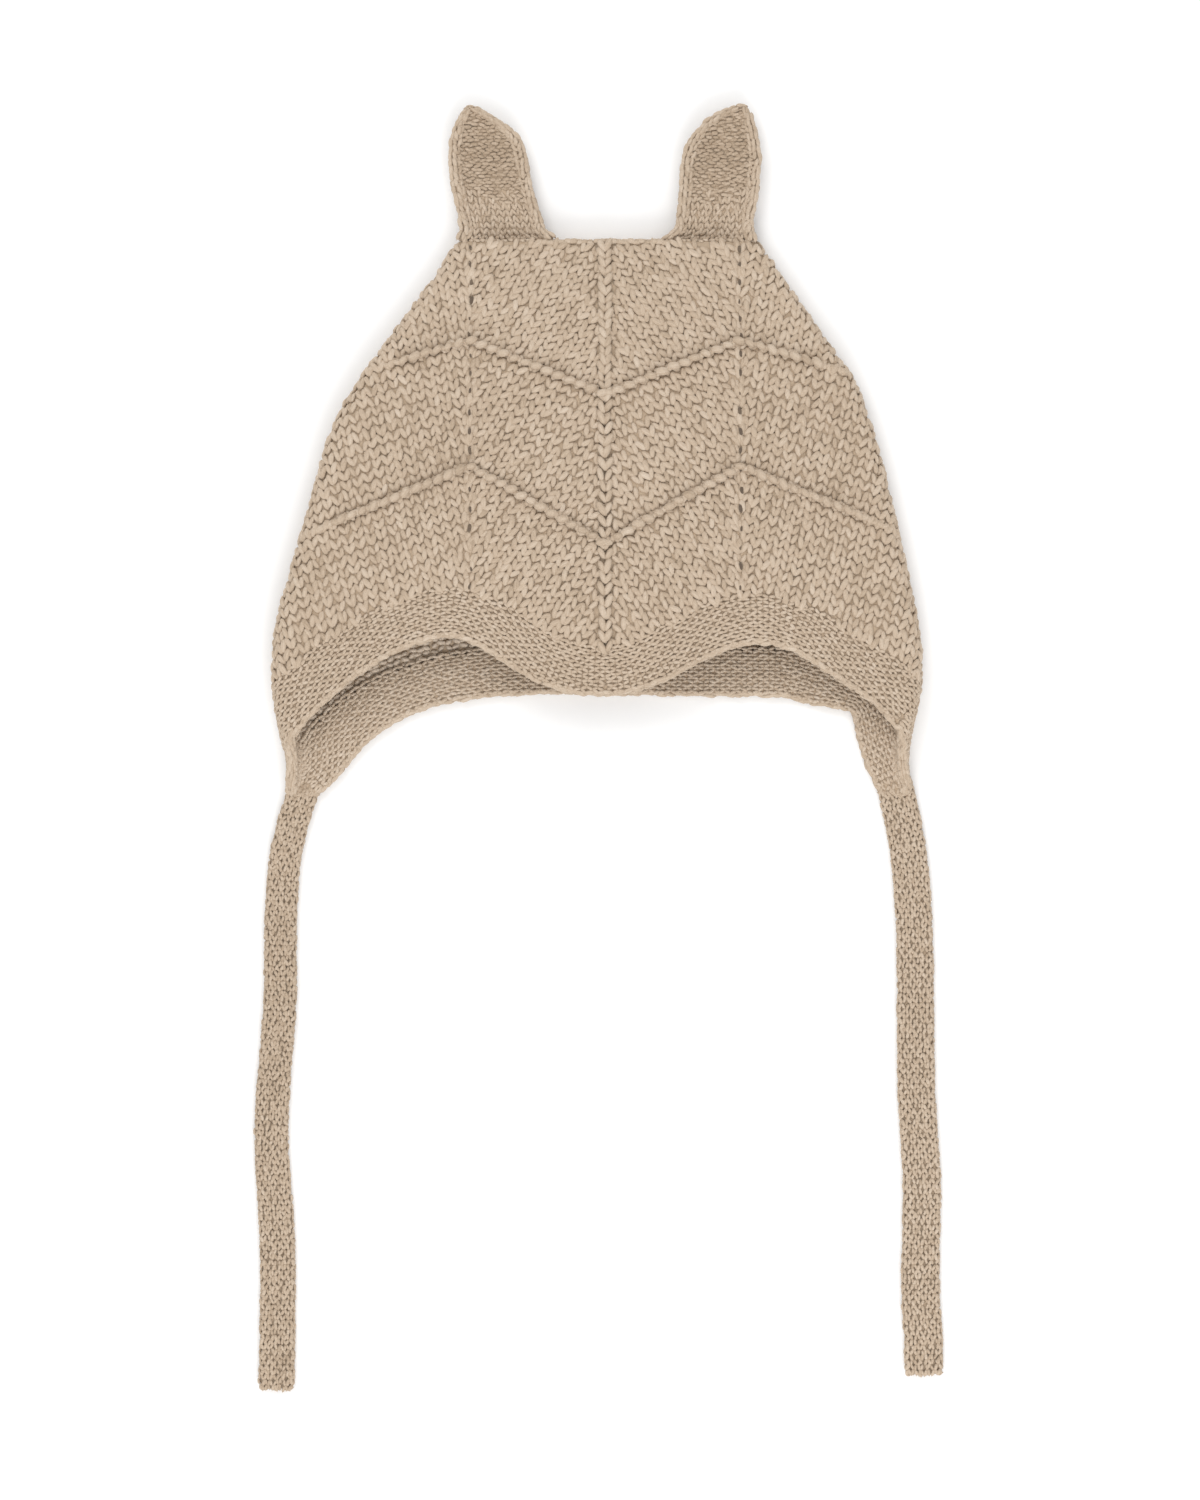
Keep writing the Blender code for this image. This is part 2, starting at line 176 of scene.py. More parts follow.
def wall(side, around, height, inset=0.0):
    """Points of the wall, a given depth under its outer face."""
    around = np.maximum(around, 0.0)
    fold = at(FOLDS, height)
    radius = fold / 2.0
    run, bend = run_and_fold(side, height)
    share = np.clip(around / run, 0.0, 1.0)
    dip_across = around / BORDER_WIDTH / 2.0
    dip_up = np.maximum(height - EDGE_WAVE[0][FRONT_LEFT], 0.0) * CROWN_LENGTH / BORDER_WIDTH / 2.0
    dip = BROW_DIP * np.exp(-dip_across ** 2 - dip_up ** 2)
    front_z = fold + (at(MIDDLES, height) - fold) * (1.0 - share ** 2) ** DOME_POWER - dip - inset
    angle = np.clip((around - run) / radius, 0.0, math.pi)
    reach = radius - inset
    in_front = around <= run
    behind = around >= run + bend
    x = np.where(in_front, around, run + reach * np.sin(angle))
    x = np.where(behind, 2.0 * run + bend - around, x)
    z = np.where(in_front, front_z, radius + reach * np.cos(angle))
    z = np.where(behind, inset, z)
    y = (height - 0.5) * CROWN_LENGTH
    return np.stack([side * x, y + 0.0 * x, z], axis=-1)


def unit(vectors):
    """The same directions with length one."""
    return vectors / np.maximum(np.linalg.norm(vectors, axis=-1, keepdims=True), 1e-12)


def wall_frames(side, around, height, inset=0.0):
    """Points of the wall with their directions: away round the wall, up the crown and out of the cloth."""
    point = wall(side, around, height, inset)
    out = wall(side, around + TANGENT_STEP, height, inset) - wall(side, around - TANGENT_STEP, height, inset)
    share = TANGENT_STEP / CROWN_LENGTH
    up = wall(side, around, height + share, inset) - wall(side, around, height - share, inset)
    facing = unit(np.cross(out, up)) * side
    return point, unit(out), unit(up), facing


def station_to_around(side, station, height):
    """Turn a station, 0 at the front centre, 1 to 2 in the fold and 3 at the back centre, into metres."""
    run, bend = run_and_fold(side, height)
    over_front = np.minimum(station, FOLD_START) * run
    in_fold = np.clip(station - FOLD_START, 0.0, 1.0) * bend
    return over_front + in_fold + np.maximum(station - FOLD_END, 0.0) * run


# %% [markdown]
# The border's rows run parallel to the free edge. A line that stays one distance away from a curve is the
# upper rim of discs of that size rolled along it, which the next function works out. At a flap tip the
# edge is a tie instead, so the rows there run on down into the tie.

# %% Lines parallel to the free edge
REFERENCE_HEIGHT = 0.15
TIE_DROP = -0.06
FLAP_TIP_LIMIT = 0.006
EDGE_COUNT = 1201
SEAM_COUNT = 301
FULL_HALF = {side: sum(run_and_fold(side, REFERENCE_HEIGHT)) + run_and_fold(side, REFERENCE_HEIGHT)[0]
             for side in (-1, 1)}


def edge_height(side, station):
    """Height of the border's free edge, as a share of the crown's length."""
    in_fold = np.clip(station - FOLD_START, 0.0, 1.0)
    share = ((1.0 + np.cos(in_fold * math.pi)) / 2.0) ** FOLD_EASE
    fold = share * EDGE_WAVE[-1][FRONT_LEFT if side < 0 else FRONT_RIGHT]
    front = at(FRONT_EDGES[side], station)
    back = np.maximum(at(BACK_EDGES[side], BACK_CENTRE - station), 0.0)
    return np.where(station <= FOLD_START, front, np.where(station >= FOLD_END, back, fold))


def edge_samples():
    """Places all round the free edge, unrolled into a line, and its height at each."""
    places = []
    heights = []
    stations = np.linspace(FRONT_CENTRE, BACK_CENTRE, EDGE_COUNT)
    for side in (-1, 1):
        around = station_to_around(side, stations, REFERENCE_HEIGHT)
        height = edge_height(side, stations) * CROWN_LENGTH
        for unrolled in (side * around, side * (2.0 * FULL_HALF[side] - around)):
            places.append(unrolled)
            heights.append(height)
    return np.concatenate(places), np.concatenate(heights)


EDGE_PLACES, EDGE_HEIGHTS = edge_samples()
AT_FLAP_TIP = EDGE_HEIGHTS < FLAP_TIP_LIMIT * CROWN_LENGTH
ROW_EDGE_HEIGHTS = np.where(AT_FLAP_TIP, TIE_DROP * CROWN_LENGTH, EDGE_HEIGHTS)


def line_beside_edge(side, stations, away, edge=EDGE_HEIGHTS):
    """Heights of the line that stays a distance away from the free edge."""
    centres = side * station_to_around(side, stations, REFERENCE_HEIGHT)
    lines = []
    for centre in centres:
        distance = EDGE_PLACES - centre
        near = np.abs(distance) <= away + 1e-9
        lines.append(np.max(edge[near] + np.sqrt(np.maximum(away ** 2 - distance[near] ** 2, 0.0))))
    return np.array(lines) / CROWN_LENGTH


SEAM_STATIONS = np.linspace(FRONT_CENTRE, BACK_CENTRE, SEAM_COUNT)
SEAM_LINES = {side: line_beside_edge(side, SEAM_STATIONS, BORDER_WIDTH) for side in (-1, 1)}


def seam_line(side, stations):
    """Heights of the seam between border and crown."""
    return np.interp(stations, SEAM_STATIONS, SEAM_LINES[side])


def seam_height(side, around, height):
    """Height of the seam between border and crown below a place on the wall."""
    run, bend = run_and_fold(side, height)
    station = np.minimum(around / run, 1.0) + np.clip((around - run) / bend, 0.0, 1.0)
    station = station + np.maximum(around - run - bend, 0.0) / run
    return seam_line(side, station)


print("seam between border and crown at", round(float(SEAM_LINES[1].min()), 3),
      "to", round(float(SEAM_LINES[1].max()), 3))

# %% [markdown]
# Camera, floor and light. The photograph looks straight down on the bonnet with a long lens. The camera's
# height and lens give its field: 375 mm by 469 mm at a level 6 mm over the table, centred a little below
# the crown. A white floor, a bright even surround and two large soft lights, one from the upper left and a
# fill from below the picture, give the same calm light.

# %% Camera, floor and light
FIELD_HEIGHT = 0.46875
FIELD_CENTRE = (-0.0016, -0.0727)
CAMERA_HEIGHT = 1.60
SENSOR_HEIGHT = 36.0
FIELD_LEVEL = 0.006
FLOOR_HALF_WIDTH = 3.0
FLOOR_DROP = 0.0003
PAPER_COLOUR = "F8F8F8"
WHITE = (1.0, 1.0, 1.0, 1.0)
SURROUND_STRENGTH = 0.88
SOFTBOX_SIZE = 0.80
SOFTBOXES = (
    ("upper_left_softbox", (-0.45, 1.00, 1.10), (0.0, 0.0, 0.0), 7.0),
    ("lower_fill_softbox", (0.15, -1.05, 0.80), (0.0, -0.05, 0.0), 7.4),
)


def in_scene(item):
    """Put an object into the scene."""
    bpy.context.scene.collection.objects.link(item)
    return item


def make_camera():
    """A long lens straight above the bonnet."""
    data = bpy.data.cameras.new("camera")
    data.sensor_fit = "VERTICAL"
    data.sensor_height = SENSOR_HEIGHT
    data.lens = SENSOR_HEIGHT * CAMERA_HEIGHT / FIELD_HEIGHT
    data.clip_start = 0.05
    data.clip_end = 20.0
    camera = in_scene(bpy.data.objects.new("camera", data))
    camera.location = (*FIELD_CENTRE, CAMERA_HEIGHT + FIELD_LEVEL)
    bpy.context.scene.camera = camera


def linear(code):
    """Turn an sRGB hex colour into the linear numbers that shaders use."""
    parts = [int(code[place:place + 2], 16) / 255.0 for place in (0, 2, 4)]
    lights = [part / 12.92 if part <= 0.04045 else ((part + 0.055) / 1.055) ** 2.4 for part in parts]
    return (*lights, 1.0)


def fill(tree, node, inputs):
    """Give a node's inputs their values and links."""
    for socket, value in inputs.items():
        if isinstance(value, bpy.types.NodeSocket):
            tree.links.new(value, node.inputs[socket])
        else:
            node.inputs[socket].default_value = value
    return node


def add_node(tree, kind, inputs=None, **settings):
    """Add a node, with its settings, its values and the links into it."""
    node = tree.nodes.new(kind)
    for name, value in settings.items():
        setattr(node, name, value)
    return fill(tree, node, inputs or {})


def maths(tree, operation, first, second=0.0, third=0.0):
    """The result of one sum on fields or numbers."""
    inputs = {0: first, 1: second, 2: third}
    return add_node(tree, "ShaderNodeMath", inputs, operation=operation).outputs["Value"]


def new_material(name):
    """A new material, its tree and the shader in it."""
    material = bpy.data.materials.new(name)
    material.use_nodes = True
    return material, material.node_tree, material.node_tree.nodes["Principled BSDF"]


def make_floor():
    """A matt white sheet of paper under the bonnet."""
    half = FLOOR_HALF_WIDTH
    corners = [(-half, -half, 0), (half, -half, 0), (half, half, 0), (-half, half, 0)]
    mesh = bpy.data.meshes.new("floor")
    mesh.from_pydata(corners, [], [(0, 1, 2, 3)])
    floor = in_scene(bpy.data.objects.new("floor", mesh))
    floor.location.z = -FLOOR_DROP
    paper, tree, shader = new_material("matt_white_paper")
    fill(tree, shader, {"Base Color": linear(PAPER_COLOUR), "Roughness": 0.9, "Specular IOR Level": 0.2})
    mesh.materials.append(paper)


def make_softbox(name, place, aim, power):
    """A square studio light, turned towards a point."""
    data = bpy.data.lights.new(name, "AREA")
    data.shape = "SQUARE"
    data.size = SOFTBOX_SIZE
    data.energy = power
    light = in_scene(bpy.data.objects.new(name, data))
    light.location = place
    light.rotation_euler = (Vector(aim) - Vector(place)).to_track_quat("-Z", "Y").to_euler()


def make_surround():
    """An even white surround."""
    world = bpy.data.worlds.new("surround")
    world.use_nodes = True
    background = world.node_tree.nodes["Background"]
    fill(world.node_tree, background, {"Color": WHITE, "Strength": SURROUND_STRENGTH})
    bpy.context.scene.world = world


make_camera()
make_floor()
for softbox in SOFTBOXES:
    make_softbox(*softbox)
make_surround()
bpy.context.scene.view_settings.view_transform = "Standard"
print("camera", CAMERA_HEIGHT, "m above the field, lens",
      round(bpy.context.scene.camera.data.lens, 1), "mm")

# %% [markdown]
# The yarn is a soft woollen melange: undyed beige fibres, some lighter and some darker, spun from two
# plies with a light twist and brushed by wear, so it has no gloss but a faint halo of fibres. In the shader
# a strand's own shade and a fine noise mix the fibres, a spiral bump is the twist, and sheen is the halo.
# The ground cloth under the strands is the same wool painted darker, as painted shade between the
# stitches. A second yarn in the brown of deep shade is painted shade too: it draws only the small holes at
# the increases.

# %% Wool materials
WOOL_CODES = ("A5917B", "BDAA95", "CDBDAB")
# Painted shade: the browns of the eyelet yarn stand for the shade inside the small holes at the increases.
EYELET_PAINTED_SHADE_CODES = ("54473A", "64564A", "7A6A57")
# Painted shade: the ground cloth's colours are darker than the yarn's, for the shade between the stitches.
GROUND_PAINTED_SHADE_CODES = ("AD9982", "BBA790", "C4B19B")
FIBRE_MM = 0.35
FIBRE_SPREAD = 0.22
PLIES = 2
PLY_RELIEF = 0.25
BUMP_DEPTH = 0.0003
TWIST_TURNS = 2.0
STREAK_STRENGTH = 0.9
STREAKS_ALONG, STREAKS_ROUND, STREAK_SEED = 2.5, 14.0, 90.0


def mixed_fibres(tree, shade, codes):
    """Three wool colours, chosen by a strand's shade and by the single fibres."""
    place = add_node(tree, "ShaderNodeTexCoord").outputs["Object"]
    fibre = add_node(tree, "ShaderNodeTexNoise", {
        "Vector": place, "Scale": 1000.0 / FIBRE_MM, "Detail": 3.0, "Roughness": 0.6})
    spread = add_node(tree, "ShaderNodeMapRange", {
        "Value": fibre.outputs["Fac"], "From Min": 0.25, "From Max": 0.75,
        "To Min": -FIBRE_SPREAD, "To Max": FIBRE_SPREAD})
    total = maths(tree, "ADD", spread.outputs["Result"], shade)
    ramp = add_node(tree, "ShaderNodeValToRGB", {"Fac": total})
    dark, main, light = (linear(code) for code in codes)
    ramp.color_ramp.elements[0].color = dark
    ramp.color_ramp.elements[1].color = light
    ramp.color_ramp.elements.new(0.5).color = main
    return ramp.outputs["Color"], fibre.outputs["Fac"]


def make_yarn(name, codes):
    """Two-ply woollen yarn: matt, melange, with a spiral twist and a soft halo."""
    material, tree, shader = new_material(name)
    shade = add_node(tree, "ShaderNodeAttribute", attribute_name="shade").outputs["Fac"]
    own = add_node(tree, "ShaderNodeUVMap", uv_map="strand_uv").outputs["UV"]
    parts = add_node(tree, "ShaderNodeSeparateXYZ", {"Vector": own})
    streak_place = add_node(tree, "ShaderNodeCombineXYZ", {
        "X": maths(tree, "MULTIPLY", parts.outputs["X"], STREAKS_ALONG),
        "Y": maths(tree, "MULTIPLY", parts.outputs["Y"], STREAKS_ROUND),
        "Z": maths(tree, "MULTIPLY", shade, STREAK_SEED)})
    streak = add_node(tree, "ShaderNodeTexNoise", {
        "Vector": streak_place.outputs["Vector"], "Scale": 1.0, "Detail": 2.0})
    lighter = maths(tree, "SUBTRACT", streak.outputs["Fac"], 0.5)
    streaked = maths(tree, "MULTIPLY_ADD", lighter, STREAK_STRENGTH, shade)
    colour, fibre = mixed_fibres(tree, streaked, codes)
    turn = maths(tree, "MULTIPLY_ADD", parts.outputs["X"], TWIST_TURNS, parts.outputs["Y"])
    ply = maths(tree, "SINE", maths(tree, "MULTIPLY", turn, 2.0 * PLIES * math.pi))
    relief = maths(tree, "MULTIPLY_ADD", ply, PLY_RELIEF, fibre)
    bump = add_node(tree, "ShaderNodeBump", {"Strength": 0.45, "Distance": BUMP_DEPTH, "Height": relief})
    fill(tree, shader, {
        "Base Color": colour, "Normal": bump.outputs["Normal"], "Roughness": 0.92, "Specular IOR Level": 0.25,
        "Sheen Weight": 0.30, "Sheen Roughness": 0.55, "Sheen Tint": linear("F0E4D2")})
    return material


def make_ground(name):
    """The wool behind the strands, painted darker as painted shade between the stitches."""
    material, tree, shader = new_material(name)
    colour, fibre = mixed_fibres(tree, 0.5, GROUND_PAINTED_SHADE_CODES)
    bump = add_node(tree, "ShaderNodeBump", {"Strength": 0.6, "Distance": BUMP_DEPTH, "Height": fibre})
    fill(tree, shader, {
        "Base Color": colour, "Normal": bump.outputs["Normal"], "Roughness": 0.95, "Specular IOR Level": 0.2})
    return material


YARN = make_yarn("two_ply_wool_yarn", WOOL_CODES)
PAINTED_SHADE_YARN = make_yarn("wool_of_painted_eyelet_shade", EYELET_PAINTED_SHADE_CODES)
GROUND = make_ground("wool_ground_cloth_painted_shade")
print("materials", YARN.name, PAINTED_SHADE_YARN.name, GROUND.name)

# %% [markdown]
# One strand of yarn, as far as it shows, is half a stitch: a short thick thread that dives into the cloth
# at both ends. It starts as a flat grid, rolled into a tube that tapers to a point at each end and arched
# up from the cloth. The grid's own UV map stays on it, for the twist of the yarn.
# The tree then stands one strand on each point, turned by the point's own directions, and makes them one
# mesh. Each strand gets its own cell in a second UV map, so that the colours can be baked later.

# %% Geometry Nodes tree for yarn strands
STRAND_INPUTS = (
    ("Strand length", 0.0038),
    ("Strand width", 0.0015),
    ("Strand thickness", 0.0013),
    ("Arch", 0.0005),
    ("Bluntness", 2.4),
    ("Turn spread", 0.12),
    ("Size spread", 0.08),
)
STRAND_COUNTS = (("Steps along", 5), ("Steps round", 5), ("Cells", 10), ("Seed", 1))
MERGE_DISTANCE = 0.00002
CELL_SHARE, CELL_MARGIN = 0.8, 0.1


def add_strand_shape(tree, given):
    """Nodes that roll a grid into one strand, lying along X with its top at +Z."""
    grid = add_node(tree, "GeometryNodeMeshGrid", {
        "Size X": 1.0, "Size Y": 1.0,
        "Vertices X": maths(tree, "ADD", given["Steps along"], 1.0),
        "Vertices Y": maths(tree, "ADD", given["Steps round"], 1.0),
    })
    own_uv = add_node(tree, "GeometryNodeStoreNamedAttribute", {
        "Geometry": grid.outputs["Mesh"], "Name": "strand_uv", "Value": grid.outputs["UV Map"],
    }, data_type="FLOAT2", domain="CORNER")
    position = add_node(tree, "GeometryNodeInputPosition").outputs["Position"]
    place = add_node(tree, "ShaderNodeSeparateXYZ", {"Vector": position})
    end_to_end = maths(tree, "MULTIPLY", place.outputs["X"], 2.0)
    blunt = maths(tree, "POWER", maths(tree, "ABSOLUTE", end_to_end), given["Bluntness"])
    girth = maths(tree, "SQRT", maths(tree, "MAXIMUM", maths(tree, "SUBTRACT", 1.0, blunt), 0.0))
    rise = maths(tree, "SUBTRACT", 1.0, maths(tree, "MULTIPLY", end_to_end, end_to_end))
    angle = maths(tree, "MULTIPLY", place.outputs["Y"], -2.0 * math.pi)
    angle = maths(tree, "ADD", angle, -1.5 * math.pi)
    half_width = maths(tree, "MULTIPLY", maths(tree, "MULTIPLY", given["Strand width"], 0.5), girth)
    half_thick = maths(tree, "MULTIPLY", maths(tree, "MULTIPLY", given["Strand thickness"], 0.5), girth)
    sideways = maths(tree, "MULTIPLY", maths(tree, "COSINE", angle), half_width)
    upwards = maths(tree, "MULTIPLY", maths(tree, "SINE", angle), half_thick)
    rolled = add_node(tree, "ShaderNodeCombineXYZ", {
        "X": maths(tree, "MULTIPLY", place.outputs["X"], given["Strand length"]),
        "Y": sideways,
        "Z": maths(tree, "MULTIPLY_ADD", rise, given["Arch"], upwards),
    })
    tube = add_node(tree, "GeometryNodeSetPosition", {
        "Geometry": own_uv.outputs["Geometry"], "Position": rolled.outputs["Vector"],
    })
    closed = add_node(tree, "GeometryNodeMergeByDistance", {
        "Geometry": tube.outputs["Geometry"], "Distance": MERGE_DISTANCE,
    })
    smooth = add_node(tree, "GeometryNodeSetShadeSmooth", {"Geometry": closed.outputs["Geometry"]})
    return smooth.outputs["Geometry"]


def named(tree, name, data_type):
    """An attribute that the points carry."""
    node = add_node(tree, "GeometryNodeInputNamedAttribute", {"Name": name}, data_type=data_type)
    return node.outputs["Attribute"]


def make_strand_tree():
    """The tree that knits: a strand on every point, turned as the point says."""
    tree = bpy.data.node_groups.new("yarn_strands", "GeometryNodeTree")
    tree.interface.new_socket("Geometry", in_out="INPUT", socket_type="NodeSocketGeometry")
    for name, value in STRAND_INPUTS:
        tree.interface.new_socket(name, in_out="INPUT", socket_type="NodeSocketFloat").default_value = value
    for name, value in STRAND_COUNTS:
        tree.interface.new_socket(name, in_out="INPUT", socket_type="NodeSocketInt").default_value = value
    tree.interface.new_socket("Yarn", in_out="INPUT", socket_type="NodeSocketMaterial")
    tree.interface.new_socket("Geometry", in_out="OUTPUT", socket_type="NodeSocketGeometry")
    given = add_node(tree, "NodeGroupInput").outputs
    strand = add_strand_shape(tree, given)
    along = add_node(tree, "FunctionNodeAlignRotationToVector", {
        "Vector": named(tree, "along", "FLOAT_VECTOR"),
    }, axis="X")
    faced = add_node(tree, "FunctionNodeAlignRotationToVector", {
        "Rotation": along.outputs["Rotation"], "Vector": named(tree, "facing", "FLOAT_VECTOR"),
    }, axis="Z", pivot_axis="X")
    turn = add_node(tree, "FunctionNodeRandomValue", {
        2: maths(tree, "MULTIPLY", given["Turn spread"], -1.0), 3: given["Turn spread"],
        "Seed": given["Seed"],
    }, data_type="FLOAT")
    turned = add_node(tree, "FunctionNodeRotateRotation", {
        "Rotation": faced.outputs["Rotation"],
        "Rotate By": add_node(tree, "FunctionNodeAxisAngleToRotation", {
            "Axis": (0.0, 0.0, 1.0), "Angle": turn.outputs[1],
        }).outputs["Rotation"],
    }, rotation_space="LOCAL")
    size = add_node(tree, "FunctionNodeRandomValue", {
        2: maths(tree, "SUBTRACT", 1.0, given["Size spread"]),
        3: maths(tree, "ADD", 1.0, given["Size spread"]),
        "Seed": maths(tree, "ADD", given["Seed"], 1.0),
    }, data_type="FLOAT")
    scale = maths(tree, "MULTIPLY", size.outputs[1], named(tree, "plump", "FLOAT"))
    strands = add_node(tree, "GeometryNodeInstanceOnPoints", {
        "Points": given["Geometry"], "Instance": strand, "Rotation": turned.outputs["Rotation"],
        "Scale": scale,
    })
    joined = add_node(tree, "GeometryNodeRealizeInstances", {"Geometry": strands.outputs["Instances"]})
    number = named(tree, "number", "INT")
    column = maths(tree, "MODULO", number, given["Cells"])
    row = maths(tree, "FLOOR", maths(tree, "DIVIDE", number, given["Cells"]))
    own_uv = add_node(tree, "ShaderNodeSeparateXYZ", {0: named(tree, "strand_uv", "FLOAT_VECTOR")})
    cell_places = {}
    for axis, first in (("X", column), ("Y", row)):
        inside = maths(tree, "MULTIPLY_ADD", own_uv.outputs[axis], CELL_SHARE, CELL_MARGIN)
        cell_places[axis] = maths(tree, "DIVIDE", maths(tree, "ADD", first, inside), given["Cells"])
    cell = add_node(tree, "ShaderNodeCombineXYZ", cell_places)
    baked = add_node(tree, "GeometryNodeStoreNamedAttribute", {
        "Geometry": joined.outputs["Geometry"], "Name": "OFBake", "Value": cell.outputs["Vector"],
    }, data_type="FLOAT2", domain="CORNER")
    finished = add_node(tree, "GeometryNodeSetMaterial", {
        "Geometry": baked.outputs["Geometry"], "Material": given["Yarn"],
    })
    add_node(tree, "NodeGroupOutput", {"Geometry": finished.outputs["Geometry"]})
    return tree


STRAND_TREE = make_strand_tree()
print("strand tree has", len(STRAND_TREE.nodes), "nodes")

# %% [markdown]
# Knitting is then two steps: a function gathers the strands of a piece, their points and directions, and
# the tree turns them into yarn. The result is made a plain mesh with new_from_object, and the points that
# carried the tree are removed. Each strand's shade is drawn with a fixed seed: most are near the main
# colour, and a slow change over the cloth stands for the uneven dye of the fibres.

# %% Gather strands and knit them
MAIN_SHADE = 0.52
SLOW_SHADE = 0.04
SHADE_SPREAD = 0.11
SHADE_LIMITS = (0.02, 0.98)
SHADE_WAVE_ACROSS, SHADE_WAVE_ACROSS_START = 61.0, 1.3
SHADE_WAVE_UP, SHADE_WAVE_UP_START = 53.0, 0.4
OUTWARD_STRAY_TAKEN = 0.5


def strands_of(place, along, facing, plump=1.0, shade=0.0):
    """One group of strands: where each lies, which way it runs and which way is out."""
    count = len(place)
    return {
        "place": place, "along": along, "facing": facing,
        "plump": np.full(count, 1.0) * plump, "shade": np.full(count, 0.0) + shade,
    }


def gathered(groups):
    """Several groups of strands as one."""
    return {key: np.concatenate([group[key] for group in groups]) for key in groups[0]}


def strand_points(name, strands, seed, spread):
    """An object of bare points that carry each strand's directions, size, shade and number. Each point
    strays a little from its place, less out of the cloth than along it."""
    count = len(strands["place"])
    random = np.random.default_rng(seed)
    slow = np.sin(strands["place"][:, 0] * SHADE_WAVE_ACROSS + SHADE_WAVE_ACROSS_START)
    slow = slow * np.sin(strands["place"][:, 1] * SHADE_WAVE_UP + SHADE_WAVE_UP_START)
    shade = MAIN_SHADE + strands["shade"] + SLOW_SHADE * slow + random.normal(0.0, SHADE_SPREAD, count)
    stray = random.normal(0.0, spread, (count, 3))
    outward = np.sum(stray * strands["facing"], axis=1, keepdims=True)
    stray -= strands["facing"] * outward * OUTWARD_STRAY_TAKEN
    mesh = bpy.data.meshes.new(name)
    mesh.vertices.add(count)
    place = strands["place"] + stray
    place[:, 2] = np.maximum(place[:, 2], LOWEST_STRAND)
    mesh.vertices.foreach_set("co", place.ravel())
    for key, kind, field, values in (
            ("along", "FLOAT_VECTOR", "vector", strands["along"].ravel()),
            ("facing", "FLOAT_VECTOR", "vector", strands["facing"].ravel()),
            ("plump", "FLOAT", "value", strands["plump"]),
            ("shade", "FLOAT", "value", np.clip(shade, *SHADE_LIMITS)),
            ("number", "INT", "value", np.arange(count))):
        mesh.attributes.new(key, kind, "POINT").data.foreach_set(field, values)
    return in_scene(bpy.data.objects.new(name, mesh))


def plain_mesh(piece, name):
    """The evaluated object as a plain mesh object, in place of the one that carried the modifier."""
    graph = bpy.context.evaluated_depsgraph_get()
    mesh = bpy.data.meshes.new_from_object(piece.evaluated_get(graph))
    mesh.name = name
    bpy.data.objects.remove(piece, do_unlink=True)
    return in_scene(bpy.data.objects.new(name, mesh))


def knit(name, strands, seed, spread=PLACE_SPREAD, **sizes):
    """Turn gathered strands into one yarn mesh. The sizes are the tree's named inputs."""
    points = strand_points(name + "_points", strands, seed, spread)
    count = len(strands["place"])
    sizes["Cells"] = math.ceil(math.sqrt(count))
    sizes["Seed"] = seed
    sizes.setdefault("Yarn", YARN)
    modifier = points.modifiers.new("yarn", "NODES")
    modifier.node_group = STRAND_TREE
    for item in STRAND_TREE.interface.items_tree:
        if item.in_out == "INPUT" and item.name in sizes:
            modifier[item.identifier] = sizes[item.name]
    made = plain_mesh(points, name)
    for unneeded in ("along", "facing", "plump", "number"):
        if unneeded in made.data.attributes:
            made.data.attributes.remove(made.data.attributes[unneeded])
    made.data.calc_loop_triangles()
    print(name, count, "strands,", len(made.data.loop_triangles), "triangles")
    return made


FIRST_STITCH_SHARE = 0.15
LEG_SHARE = 0.25
LEG_LEAN = math.radians(23.0)
V_STITCH = {"Strand length": 0.0045, "Strand width": 0.00188, "Strand thickness": 0.00140, "Arch": 0.00042,
            "Turn spread": 0.19, "Size spread": 0.14}
BUMP = {"Strand length": 0.0034, "Strand width": 0.00190, "Strand thickness": 0.00130, "Arch": 0.00035,
        "Turn spread": 0.26, "Size spread": 0.12}
RIDGE_BUMP = {"Strand length": 0.0036, "Strand width": 0.00210, "Strand thickness": 0.00170, "Arch": 0.00040,
              "Turn spread": 0.22, "Size spread": 0.15}
TIE_BUMP = {"Strand length": 0.0027, "Strand width": 0.00122, "Strand thickness": 0.00110, "Arch": 0.00027,
            "Turn spread": 0.22, "Size spread": 0.14, "Steps along": 4}
BORDER_BUMP = {"Strand length": 0.0028, "Strand width": 0.00124, "Strand thickness": 0.00120, "Arch": 0.00035,
               "Turn spread": 0.16, "Size spread": 0.12, "Steps along": 4}
ROPE = {"Strand length": 0.0044, "Strand width": 0.00170, "Strand thickness": 0.00150, "Arch": 0.0002,
        "Turn spread": 0.10, "Size spread": 0.08}
PLAIN_STEPS = {"Steps along": 4, "Steps round": 4}
FINE_STEPS = {"Steps along": 6, "Steps round": 6}


def vs(point, row, up, beside, reach, facing, plump=1.0, lean=LEG_LEAN, proud=0.0):
    """Two strands for each stitch, which lean apart from the foot of the V."""
    groups = []
    for leg in (-1.0, 1.0):
        along = up * math.cos(lean) + beside * math.sin(lean) * leg
        groups.append(strands_of(point + row * leg * reach + facing * proud, along, facing, plump))
    return gathered(groups)

# %% [markdown]
# The ground cloth. Real stockinette is closed: behind the V stitches lies the rest of each loop. A thin
# shell under the strands stands for it. It is made of rings round the wall, from the free edge upwards,
# with an outer and an inner face.

# %% Ground cloth from rings
INNER_DEPTH_SHARE = 0.8
INNER_TOP_DROP = 0.0006


def ring_columns(run_columns=44, fold_columns=8):
    """Stations once round the wall: front centre, right fold, back centre, left fold."""
    run = np.linspace(FRONT_CENTRE, FOLD_START, run_columns + 1)
    fold = FOLD_START + np.arange(1, fold_columns) / fold_columns
    half = np.concatenate([run, fold, BACK_CENTRE - run[::-1]])
    return half, half[1:-1][::-1]


